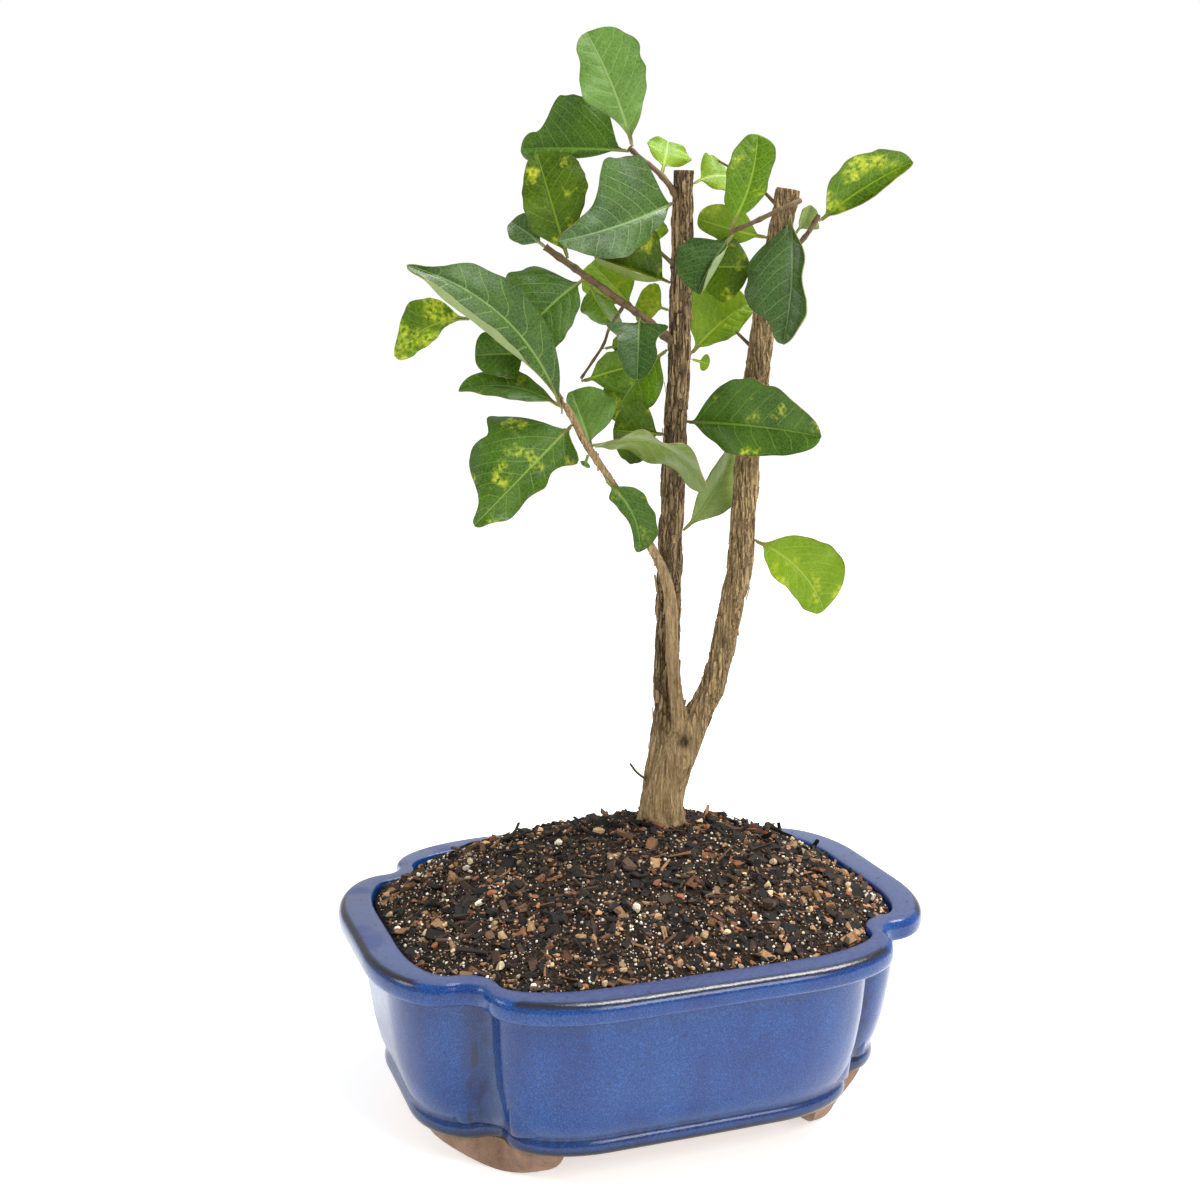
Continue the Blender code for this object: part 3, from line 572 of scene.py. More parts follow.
def buildSoil():
    treeX, treeY = soil["tree"]
    rim = moundOutline()
    rings = []
    floorTop = pot["footHeight"] + pot["floor"] + pot["fit"]
    fillet = pot["innerFillet"]
    rings.append([(x, y, floorTop) for x, y in lobedOutline(innerInsets(1.2, pot["fit"]), fillet)])
    for depth in (0.9, 0.5, 0.2):
        z = pot["height"] + (floorTop - pot["height"]) * depth
        rings.append([(x, y, z) for x, y in lobedOutline(innerInsets(depth, pot["fit"]), fillet)])
    for i in range(soil["rings"] + 1):
        share = 0.975 * i / soil["rings"]
        ring = []
        for x, y in rim:
            px, py = x + (treeX - x) * share, y + (treeY - y) * share
            ring.append((px, py, surfaceHeight(px, py, share)))
        rings.append(ring)
    obj = liftRings(exact(rings))
    smooth(obj, 80)
    material, tree, shader, place = newMaterial("darkSoil", Roughness=0.95, Specular_IOR_Level=0.2)
    colour = ramp(tree, mottled(tree, place, 1.1, 0.25, 0.75, detail=6.0), (
        (0.0, paint(10, 8, 6)), (0.45, paint(32, 24, 18)), (0.75, paint(58, 44, 32)),
        (1.0, paint(104, 84, 62))))
    tree.links.new(colour, shader.inputs["Base Color"])
    bumpFrom(tree, shader, mottled(tree, place, 0.8, 0.2, 0.8, detail=8.0), 0.9, mm(0.8))
    finishPiece(obj, "soilMound", ["soil"], (material,))


def onMound(count, edgeBias=0.0):
    # random places on the heaped surface, with the slope's normal
    rim = np.array(moundOutline())
    tree = np.array(soil["tree"])
    angles = np.arctan2(rim[:, 1] - tree[1], rim[:, 0] - tree[0])
    order = np.argsort(angles)
    radii = np.hypot(rim[:, 0] - tree[0], rim[:, 1] - tree[1])
    places = []
    while len(places) < count:
        x = dice.uniform(-pot["halfLength"], pot["halfLength"])
        y = dice.uniform(-pot["halfWidth"], pot["halfWidth"])
        dx, dy = x - tree[0], y - tree[1]
        reach = np.interp(math.atan2(dy, dx), angles[order], radii[order], period=math.tau)
        share = 1 - math.hypot(dx, dy) / reach
        if share < 0.012 or share > 0.93:
            continue
        if edgeBias and dice.uniform() > (1 - share) ** edgeBias:
            continue
        steepness = soil["roundness"] * (1 - share) ** (soil["roundness"] - 1)
        slope = (soil["mound"] + soil["edgeDrop"]) * steepness / reach
        out = math.hypot(dx, dy)
        normal = Vector((dx / out * slope, dy / out * slope, 1)).normalized()
        places.append((Vector((x, y, surfaceHeight(x, y, share))), normal))
    return places


def grainShape(kind):
    dropSelection()
    if kind == "grit":
        bpy.ops.mesh.primitive_ico_sphere_add(subdivisions=1, radius=0.5)
    elif kind == "gravel":
        bpy.ops.mesh.primitive_ico_sphere_add(subdivisions=2, radius=0.5)
    else:
        bpy.ops.mesh.primitive_cube_add(size=1)
        bpy.ops.object.mode_set(mode="EDIT")
        if kind == "chip":
            bpy.ops.mesh.bevel(offset=0.12, segments=1, affect="EDGES")
        bpy.ops.object.mode_set(mode="OBJECT")
    obj = bpy.context.object
    points = np.array([vert.co for vert in obj.data.vertices])
    faces = [tuple(face.vertices) for face in obj.data.polygons]
    bpy.data.objects.remove(obj)
    return points, faces


def copiesAsMesh(name, blocks, faces, attribute, tints):
    # moved copies of one shape as one mesh, each copy with its own tint
    size = len(blocks[0])
    allFaces = [tuple(i + size * number for i in face) for number in range(len(blocks)) for face in faces]
    mesh = bpy.data.meshes.new(name)
    mesh.from_pydata(np.concatenate(blocks).tolist(), [], allFaces)
    shade = mesh.attributes.new(attribute, "FLOAT_COLOR", "POINT")
    shade.data.foreach_set("color", np.repeat(tints, size, axis=0).astype(np.float32).ravel())
    obj = bpy.data.objects.new(name, mesh)
    bpy.context.scene.collection.objects.link(obj)
    return obj


grain = {"crowding": 2.2, "gravelWaves": 0.2, "brokenFaces": 5, "cutAt": (0.2, 0.36), "uneven": 0.22,
         "bow": 0.25, "tint": (0.7, 1.25), "gravelTilt": 0.2, "tilt": 0.4, "gravelSmooth": 22}


def grainBlock(kind, points, long, wide, thick):
    # one grain of its kind, lying flat, with its own lumps
    if kind == "gravel":
        # low lumps and a few broken faces
        lumps = np.sin(points * dice.uniform(5, 11, 3) + dice.uniform(0, 6, 3))
        shaped = points * (1 + grain["gravelWaves"] * lumps)
        for way in dice.normal(size=(grain["brokenFaces"], 3)):
            way /= np.linalg.norm(way)
            shaped -= np.outer(np.maximum(0, shaped @ way - dice.uniform(*grain["cutAt"])), way)
    else:
        shaped = points * (1 + dice.uniform(-grain["uneven"], grain["uneven"], points.shape))
    shaped = shaped * (long, wide, thick)
    if kind in ("chip", "strip"):
        shaped[:, 2] += long * dice.uniform(-grain["bow"], grain["bow"]) * (2 * shaped[:, 0] / long) ** 2
    return shaped


def scatter(name, kind, count, sizes, flatness, colours, material, edgeBias=0.0, sink=0.3):
    points, faces = grainShape(kind)
    blocks, tints = [], []
    for place, normal in onMound(count, edgeBias):
        long = mm(sizes[0] + (sizes[1] - sizes[0]) * dice.uniform() ** grain["crowding"])
        wide = long * dice.uniform(flatness[0], flatness[1])
        thick = long * dice.uniform(flatness[2], flatness[3])
        shaped = grainBlock(kind, points, long, wide, thick)
        tilt = dice.normal(0, grain["gravelTilt" if kind == "gravel" else "tilt"], 2)
        spin = Euler((tilt[0], tilt[1], dice.uniform(0, math.tau))).to_matrix()
        turn = normal.to_track_quat("Z", "Y").to_matrix() @ spin
        blocks.append(shaped @ np.array(turn).T + np.array(place + normal * thick * (0.5 - sink)))
        tint = np.array(colours[dice.choice(len(colours))][:3]) * dice.uniform(*grain["tint"])
        tints.append((*tint, 1))
    obj = copiesAsMesh(name, blocks, faces, "grainColour", tints)
    if kind == "gravel":
        smooth(obj, grain["gravelSmooth"])
    finishPiece(obj, name, (), (material,))


def makeGrain(name, roughness, size):
    material, tree, shader, place = newMaterial(name, Roughness=roughness)
    tint = put(tree, "Attribute", attribute_name="grainColour").outputs["Color"]
    shade = span(tree, mottled(tree, place, size, 0.3, 0.7, detail=5.0), 0.0, 1.0, 0.62, 1.15)
    colour = put(tree, "VectorMath", {0: tint, "Scale": shade}, operation="SCALE").outputs[0]
    tree.links.new(colour, shader.inputs["Base Color"])
    bumpFrom(tree, shader, mottled(tree, place, size * 0.6, 0.3, 0.7, detail=6.0), 0.5, mm(0.15))
    return material


def buildGrains():
    stone = makeGrain("stoneGrain", 0.75, 1.2)
    barky = makeGrain("barkGrain", 0.9, 0.9)
    dark = (paint(18, 14, 11), paint(28, 21, 16), paint(44, 33, 24), paint(23, 21, 20), paint(56, 42, 29),
            paint(13, 11, 9))
    brown = (paint(104, 72, 46), paint(132, 94, 60), paint(84, 60, 42), paint(150, 116, 80),
             paint(62, 46, 34), paint(118, 74, 46))
    pale = (paint(214, 200, 174), paint(236, 230, 216), paint(196, 168, 130), paint(168, 138, 104),
            paint(150, 108, 74), paint(226, 214, 192))
    rusty = (paint(160, 104, 66), paint(138, 84, 52), paint(176, 132, 92), paint(122, 78, 50),
             paint(164, 138, 104), paint(106, 76, 54), paint(154, 88, 54))
    cream = (paint(232, 222, 198), paint(216, 188, 144), paint(200, 162, 118), paint(186, 168, 130),
             paint(190, 142, 100))
    scatter("barkBits", "chip", 3200, (1.0, 5.6), (0.3, 0.75, 0.12, 0.35), 3 * dark + brown, barky)
    scatter("barkCrumbs", "grit", 4600, (0.5, 2.0), (0.5, 1.0, 0.4, 0.9), 2 * dark + brown, barky)
    scatter("paleGrit", "grit", 5600, (0.4, 1.35), (0.7, 1.0, 0.6, 0.9), pale, stone,
            edgeBias=0.8, sink=0.15)
    scatter("rustyGravel", "gravel", 860, (1.0, 3.9), (0.5, 1.0, 0.35, 0.7), rusty + brown[1:4],
            stone, edgeBias=0.35)
    scatter("stripsOfBark", "strip", 700, (2.5, 10), (0.06, 0.18, 0.03, 0.09), brown + dark, barky,
            sink=0.1)
    scatter("paleStones", "gravel", 110, (2.0, 4.4), (0.65, 0.98, 0.55, 0.85), cream, stone,
            edgeBias=0.9, sink=0.1)


# the wood: three stems that grew as one, and the twigs on them

woodFoot = Vector((soil["tree"][0], soil["tree"][1], pot["height"] + soil["mound"]))
# each route runs from the trunk's foot: x, y, z and radius in millimetres
stems = {
    "left": (
        (-1.5, 1.5, -8, 6), (-0.8, 2.4, 7, 5.3), (1, 2.9, 23, 5.1), (3.2, 3.1, 38.5, 4.7),
        (3.8, 3.9, 53, 4.7), (4, 3.9, 73.5, 4.6), (4.5, 3.7, 95.5, 4.5), (5.3, 3.4, 120.5, 4.4),
        (6.4, 3, 148.5, 4.2),
        (7.2, 2.7, 176.5, 4.1), (7.6, 2.6, 203.5, 3.9), (7.8, 2.5, 231, 3.8)),
    "right": (
        (0, 0, -24, 7), (0, 0, -6, 8.6), (0.6, -0.2, 3, 7.9), (1.8, -1.7, 13.5, 7.1), (5.8, -4.2, 26.5, 6.5),
        (11.4, -6.2, 39, 5.2), (17.6, -8.5, 54.5, 4.6), (22.5, -10.2, 80.5, 4.4), (25.1, -11.1, 95, 4.8),
        (26.6, -11.7, 124, 4.4), (27.7, -12.1, 139, 4.2), (30.7, -13.2, 172, 4.3), (34.7, -14.6, 199.5, 4.3),
        (38.6, -16, 224.5, 4.2)),
    "front": (
        (6.5, -5, 30, 3.2), (5.3, -5.8, 38, 2.8), (3.5, -5.5, 49, 2.4), (2.1, -5, 64.5, 2.4),
        (1.7, -4.9, 79, 2.4), (-0.2, -5.3, 89, 2.1), (-3.9, -5, 98, 1.8), (-10.3, -4.8, 109, 1.5),
        (-16, -4.9, 118, 1.4),
        (-22.5, -4.7, 128, 1.4), (-28.3, -3.7, 136.5, 1.4), (-32.4, -3.3, 144, 1.4), (-37, -2.7, 152.5, 1.3)),
}
twigs = {
    "side_branch": ((6, 2, 171, 1.7), (-2.9, 1, 177.5, 1.4), (-7.1, 1.5, 181, 1.2), (-15.3, 2.3, 186.5, 1.2),
                    (-27.5, 3.5, 195, 1.15), (-40.8, 6.1, 204.5, 1.1)),
    "top_branch": ((7, 2, 219, 1.4), (2, 2.4, 226, 1), (-1.7, 3.8, 230, 0.9), (-6.3, 4.4, 233.5, 0.8),
                   (-10.8, 6, 237.5, 0.8)),
    "crossing_branch": ((38.3, -16.5, 219, 1.2), (39.4, -23.2, 219.5, 0.9), (32.7, -23.6, 217, 0.8),
                        (25, -20.6, 213, 0.76), (16.6, -16.6, 209, 0.74)),
    "right_twig": ((35, -15, 197, 1), (41.3, -21.5, 206.5, 0.8), (44.1, -23.3, 211, 0.8),
                   (46.2, -24, 215, 0.75)),
    "far_twig": ((-32.4, -3.3, 144, 0.8), (-35, 0.4, 149.5, 0.7), (-38.3, 3, 157, 0.7), (-45, 6.6, 169.5, 0.6),
                 (-56.2, 8.4, 179, 0.5), (-66.2, 9.9, 182, 0.5)),
    "short_twig": ((7.5, 2.6, 196.5, 0.8), (2, 3.5, 201, 0.7), (-0.9, 5.6, 204, 0.6)),
    "hanging_twig": ((-13.5, 2.1, 185.3, 0.6), (-17.8, 5.2, 177.5, 0.5), (-20.4, 5.6, 171, 0.5),
                     (-27.5, 7.7, 160, 0.45)),
    "dead_twig_top": ((37, -15.5, 216, 0.8), (31, -11.1, 223.5, 0.55), (25.6, -4.9, 229, 0.45),
                      (19.3, -0.6, 233.5, 0.4)),
    "dead_twig_right": ((30.5, -13.1, 168, 0.8), (23.4, -8.4, 176, 0.5)),
    "dead_twig_foot": ((-0.5, 2.4, 12, 0.6), (-5, 2.1, 15.5, 0.5), (-8.5, 2, 18.5, 0.45),
                       (-11, 1.8, 22, 0.4)),
}
bark = {"voxel": mm(0.5), "step": 1.0, "flakes": 150, "flakesBetween": (mm(6), mm(208)), "sawReach": mm(12),
        "sawBack": mm(0.9), "round": 2.6, "wide": 3.2, "fine": 3.0, "warp": 0.5, "goldFoot": (42, 16, 0.95)}
# how deep each stem's cracks are, how they wind, how dark they are painted (partly the bark's own colour, partly
# painted shade in the cracks) and how golden the bark is
stemLooks = {
    "left": {"deep": 0.95, "swirl": 0.004, "dark": 0.7, "gold": 0.0},
    "right": {"deep": 0.75, "swirl": 0.04, "dark": 0.55, "gold": 1.0},
    "front": {"deep": 0.3, "swirl": 0.0, "dark": 0.3, "gold": 0.35},
}
# the swelling in the fork and the knot hole in it: place, stretch, depth and spread in millimetres; the hole is
# also painted dark, as painted shade in the hollow, with its own spread
fork = {"at": (4.0, -5.0, 33.0), "stretch": (1, 1, 0.7), "out": 0.9, "spread": 6.5}
knot = {"at": (5.2, -8.6, 31.0), "stretch": (1, 0.6, 0.8), "in": 2.2, "spread": 2.1, "dark": 1.2,
        "darkSpread": 2.3}
flare = {"top": 24, "sink": 4, "power": 1.5, "out": 1.8}


def smoothRoute(route, step):
    # a curve through the route's points, with a point at each step and the radius eased between them
    points = [np.array(point, float) for point in route]
    points = [2 * points[0] - points[1]] + points + [2 * points[-1] - points[-2]]
    made = []
    for a, b, c, d in zip(points, points[1:], points[2:], points[3:]):
        count = max(2, round(float(np.linalg.norm((c - b)[:3])) / step))
        for i in range(count):
            t = i / count
            made.append(0.5 * (2 * b + (c - a) * t + (2 * a - 5 * b + 4 * c - d) * t ** 2
                               + (3 * b - a - 3 * c + d) * t ** 3))
    made.append(points[-2])
    return np.array(made)


def rod(name, knots, sides):
    # a round rod through the knots, each a place in metres and a radius in millimetres, as a mesh
    curve = bpy.data.curves.new(name, "CURVE")
    curve.dimensions = "3D"
    curve.bevel_depth = mm(1)
    curve.bevel_resolution = sides
    curve.use_fill_caps = True
    spline = curve.splines.new("POLY")
    spline.points.add(len(knots) - 1)
    for point, (place, radius) in zip(spline.points, knots):
        point.co = (*place, 1)
        point.radius = radius
    obj = bpy.data.objects.new(name, curve)
    bpy.context.scene.collection.objects.link(obj)
    pick(obj)
    bpy.ops.object.convert(target="MESH")
    return bpy.context.object


def tube(name, route, sides):
    obj = rod(name, [(woodFoot + mm(x, y, z), radius) for x, y, z, radius in route], sides)
    bpy.ops.object.mode_set(mode="EDIT")
    bpy.ops.mesh.select_all(action="SELECT")
    bpy.ops.mesh.remove_doubles(threshold=1e-6)
    bpy.ops.mesh.normals_make_consistent(inside=False)
    bpy.ops.object.mode_set(mode="OBJECT")
    return obj


def lengthsAlong(line):
    steps = np.linalg.norm(np.diff(line[:, :3], axis=0), axis=1)
    return np.concatenate([[0], np.cumsum(steps)])


def nodedRoute(route, step, every, swell, seed):
    # small swellings where leaves and side twigs have grown
    made = smoothRoute(route, step)
    for i, distance in enumerate(lengthsAlong(made)):
        near = (distance + seed) % every
        near = min(near, every - near)
        made[i, 3] *= 1 + swell * math.exp(-(near / 1.0) ** 2)
        made[i, 0] += 0.12 * noise.noise(Vector((distance * 0.25, seed, 0)))
        made[i, 1] += 0.12 * noise.noise(Vector((distance * 0.25, seed, 5)))
    return made


def nearestOnStems(points):
    # for each point: which stem, how far along, and the way out from its middle
    names, axis, along, radius = [], [], [], []
    for number, route in enumerate(stems.values()):
        line = smoothRoute(route, bark["step"])
        names += [number] * len(line)
        axis.append(line[:, :3])
        along.append(lengthsAlong(line))
        radius.append(line[:, 3])
    axis, along, radius = np.concatenate(axis), np.concatenate(along), np.concatenate(radius)
    found = np.empty(len(points), int)
    atOnce = 4000
    for start in range(0, len(points), atOnce):
        block = points[start:start + atOnce]
        far = np.linalg.norm(block[:, None, :] - axis[None], axis=2) - radius[None]
        found[start:start + atOnce] = far.argmin(1)
    return np.array(names)[found], along[found], points - axis[found]


def barkNoise(ring, finer, height):
    return noise.noise(Vector((ring.x * finer, ring.y * finer, height)))


def barkAt(ring, along, number):
    # the noise is read round a narrow ring and slowly along the stem, so that ridges run lengthwise
    low = Vector((ring.x, ring.y, along * 0.055 + 40 * number))
    warp = bark["warp"] * barkNoise(ring, 1, along * 0.25)
    wide = 1 - abs(noise.noise(low + Vector((warp, warp, 0)))) * bark["wide"]
    fine = 1 - abs(barkNoise(ring, 2.1, along * 0.16 + 9)) * bark["fine"]
    crack = max(0.0, wide) ** 2 + 0.5 * max(0.0, fine) ** 2
    return crack, barkNoise(ring, 0.8, along * 0.11 + 21 * number)


def meshArray(mesh, what):
    values = np.empty(len(mesh.vertices) * 3)
    mesh.vertices.foreach_get(what, values)
    return values.reshape(-1, 3)


def nearness(point, place, spread):
    far = np.linalg.norm((point - np.array(place["at"])) * place["stretch"])
    return math.exp(-(far / spread) ** 2)


def buildTrunk():
    obj = joined([tube(name, smoothRoute(route, 2.0), 7) for name, route in stems.items()])
    applyModifier(obj, "REMESH", mode="VOXEL", voxel_size=bark["voxel"], adaptivity=0)
    applyModifier(obj, "SMOOTH", factor=0.5, iterations=6)
    mesh = obj.data
    points = (meshArray(mesh, "co") - np.array(woodFoot)) * 1000
    normals = meshArray(mesh, "normal")
    numbers, along, outward = nearestOnStems(points)
    tone = np.zeros((len(points), 4), np.float32)
    goldTop, goldFade, goldFoot = bark["goldFoot"]
    stemNames = list(stems)
    for i in range(len(points)):
        stem = stemNames[numbers[i]]
        look = stemLooks[stem]
        angle = math.atan2(outward[i][1], outward[i][0]) + look["swirl"] * along[i]
        ring = Vector((math.cos(angle), math.sin(angle), 0)) * bark["round"]
        crack, flake = barkAt(ring, along[i], numbers[i])
        z = points[i][2]
        calm = min(1.0, max(0.55, (z - 8) / 40)) if stem != "front" else 1.0
        depth = look["deep"] * calm
        move = -depth * min(1.2, crack) + depth * 0.9 * flake
        # the foot flares in low ribs, and the fork swells round its knot
        if z < flare["top"]:
            part = max(0.0, 1 - (z + flare["sink"]) / flare["top"])
            move += part ** flare["power"] * flare["out"] * (0.45 + barkNoise(ring, 0.8, 3))
        move += fork["out"] * nearness(points[i], fork, fork["spread"])
        move -= knot["in"] * nearness(points[i], knot, knot["spread"])
        # the cracks are darkened: partly the bark's own colour, partly painted shade in the cracks
        dark = min(1.0, crack * look["dark"]) * calm
        # painted shade: the knot hole is darkened where it sinks in
        dark += knot["dark"] * nearness(points[i], knot, knot["darkSpread"])
        gold = look["gold"]
        if z < goldTop:
            gold += (goldFoot - gold) * min(1.0, (goldTop - z) / goldFade)
        # the cracks between the plates fade on the smooth foot
        plated = look["deep"] * min(1.0, max(0.6, (z - 10) / 30))
        points[i] += normals[i] * move
        tone[i] = (min(1, dark), gold, 0.5 + 0.5 * flake, plated)
    mesh.vertices.foreach_set("co", (points / 1000 + np.array(woodFoot)).ravel())
    shade = mesh.attributes.new("barkTone", "FLOAT_COLOR", "POINT")
    shade.data.foreach_set("color", tone.ravel())
    mesh.update()
    for stem in ("left", "right"):
        sawEnd(obj, stem)
    smooth(obj, 50)
    return obj


def peeledFlakes(trunk, material):
    # thin slips of bark that have come loose at one end
    mesh = trunk.data
    points, faces = grainShape("strip")
    lowest, highest = bark["flakesBetween"]
    blocks, tints = [], []
    while len(blocks) < bark["flakes"]:
        vert = mesh.vertices[int(dice.integers(len(mesh.vertices)))]
        if not lowest < vert.co.z - woodFoot.z < highest or abs(vert.normal.z) > 0.4:
            continue
        long = mm(dice.uniform(2, 6.5))
        shaped = points * (long, mm(dice.uniform(0.5, 1.3)), mm(0.22))
        shaped[:, 2] += long * dice.uniform(0.03, 0.14) * (shaped[:, 0] / long + 0.5) ** 2
        away = vert.normal
        up = (Vector((0, 0, 1 if dice.uniform() > 0.4 else -1)) - away * away.z).normalized()
        turn = Matrix((up, away.cross(up), away)).transposed()
        blocks.append(shaped @ np.array(turn).T + np.array(vert.co))
        tints.append((0, dice.uniform(), dice.uniform(), 0.2))
    obj = copiesAsMesh("peeledFlakes", blocks, faces, "barkTone", tints)
    finishPiece(obj, "peeledFlakes", (), (material,))


def sawEnd(obj, stem):
    # the top of a stem is sawn flat, a little below where the tube ends
    route = smoothRoute(stems[stem], bark["step"])
    end = woodFoot + mm(*route[-1][:3])
    way = Vector(route[-1][:3] - route[-4][:3]).normalized()
    pick(obj)
    bpy.ops.object.mode_set(mode="EDIT")
    bpy.ops.mesh.select_mode(type="VERT")
    bpy.ops.mesh.select_all(action="DESELECT")
    shape = bmesh.from_edit_mesh(obj.data)
    for vert in shape.verts:
        vert.select = (vert.co - end).length < bark["sawReach"]
    shape.select_flush(True)
    bmesh.update_edit_mesh(obj.data)
    bpy.ops.mesh.bisect(plane_co=end - way * bark["sawBack"], plane_no=way, use_fill=True, clear_outer=True)
    shape = bmesh.from_edit_mesh(obj.data)
    for face in shape.faces:
        if face.select and len(face.verts) > 12:
            face.material_index = 1
        else:
            face.select = False
    bmesh.update_edit_mesh(obj.data)
    bpy.ops.mesh.select_mode(type="FACE")
    bpy.ops.mesh.poke()
    bpy.ops.object.mode_set(mode="OBJECT")


def makeBark():
    material, tree, shader, place = newMaterial("stemBark", Roughness=0.85, Specular_IOR_Level=0.3)
    tone = put(tree, "Attribute", attribute_name="barkTone")
    parts = put(tree, "SeparateColor", {0: tone.outputs["Color"]}).outputs
    strand = mottled(tree, place, 0.9, 0.32, 0.68, (1, 1, 0.06), 6.0)
    speck = mottled(tree, place, 0.7, 0.45, 0.7, (1, 1, 0.5), 4.0)
    # long loose plates, each of its own shade, with dark cracks between them: partly the bark's own colour,
    # partly painted shade in the cracks
    sway = put(tree, "TexNoise", {"Vector": place, "Scale": 160.0, "Detail": 3.0}).outputs[1]
    bent = put(tree, "VectorMath", {0: sway, "Scale": mm(2.2)}, operation="SCALE").outputs[0]
    bent = put(tree, "VectorMath", {0: place, 1: bent}, operation="ADD").outputs[0]
    long = put(tree, "VectorMath", {0: bent, 1: (1, 1, 0.05)}, operation="MULTIPLY").outputs[0]
    plates = put(tree, "TexVoronoi", {"Vector": long, "Scale": 620.0}).outputs["Color"]
    between = put(tree, "TexVoronoi", {"Vector": long, "Scale": 620.0}, feature="DISTANCE_TO_EDGE").outputs[0]
    shade = put(tree, "SeparateColor", {0: plates}).outputs[0]
    crack = span(tree, between, 0.02, 0.19, 1.0, 0.0)
    brown = blend(tree, strand, paint(98, 76, 46), paint(182, 154, 108))
    golden = blend(tree, strand, paint(126, 98, 56), paint(212, 182, 128))
    colour = blend(tree, parts[1], brown, golden)
    colour = touch(tree, colour, shade, 0.55, paint(188, 162, 120))
    colour = touch(tree, colour, parts[2], 0.25, paint(168, 140, 108))
    colour = touch(tree, colour, speck, 0.35, paint(78, 54, 36))
    dark = maths(tree, "MAXIMUM", maths(tree, "MULTIPLY", crack, tone.outputs["Alpha"]), parts[0])
    colour = touch(tree, colour, dark, 0.88, paint(40, 28, 19))
    tree.links.new(colour, shader.inputs["Base Color"])
    height = maths(tree, "SUBTRACT", maths(tree, "ADD", strand, maths(tree, "MULTIPLY", speck, 0.4)),
                   maths(tree, "MULTIPLY", dark, 1.6))
    bumpFrom(tree, shader, height, 1.0, mm(0.4))
    return material


def makeTwigBark():
    material, tree, shader, place = newMaterial("twigBark", Roughness=0.7, Specular_IOR_Level=0.35)
    strand = mottled(tree, place, 1.2, 0.3, 0.7, (0.5, 0.5, 0.5), 5.0)
    patch = mottled(tree, place, 5, 0.35, 0.65)
    colour = blend(tree, strand, paint(50, 36, 22), paint(104, 82, 54))
    colour = touch(tree, colour, patch, 0.45, paint(128, 106, 72))
    tree.links.new(colour, shader.inputs["Base Color"])
    bumpFrom(tree, shader, strand, 0.9, mm(0.3))
    return material


def makeCutWood():
    material, tree, shader, place = newMaterial("sawnWood", Roughness=0.8)
    grain = mottled(tree, place, 0.9, 0.3, 0.7, (1, 1, 0.3), 5.0)
    colour = blend(tree, grain, paint(150, 122, 92), paint(196, 170, 134))
    tree.links.new(colour, shader.inputs["Base Color"])
    bumpFrom(tree, shader, grain, 0.4, mm(0.2))
    return material


def buildWood():
    sawn = makeCutWood()
    trunk = buildTrunk()
    barkMaterial = makeBark()
    finishPiece(trunk, "barkedTrunk", ["trunk"], (barkMaterial, sawn))
    peeledFlakes(trunk, barkMaterial)
    twigMaterial = makeTwigBark()
    for seed, (name, route) in enumerate(twigs.items()):
        dead = name.startswith("dead")
        made = nodedRoute(route, 1.0, 6.5, 0.0 if dead else 0.28, 1.7 * seed)
        obj = tube(name + "Bark", made, 3)
        smooth(obj, 45)
        finishPiece(obj, name + "Bark", [name], (twigMaterial, sawn))
        tip = woodFoot + mm(*made[-1][:3])
        for face in obj.data.polygons:
            if len(face.vertices) > 6 and (face.center - tip).length < mm(0.5):
                face.material_index = 1


# the leaves: each blade is bent, folded and veined on its own, and stands where its own solid does

# what a leaf has unless its own line says otherwise; a pair is for the left half and the right half
plainLeaf = {"widest": 0.5, "bend": (0.05, 0), "fold": (10, 10), "twist": 0, "wave": 0.5, "yellow": 0,
             "broad": 1, "curl": (0, 0), "rolled": (1, 1), "left": None, "right": None}
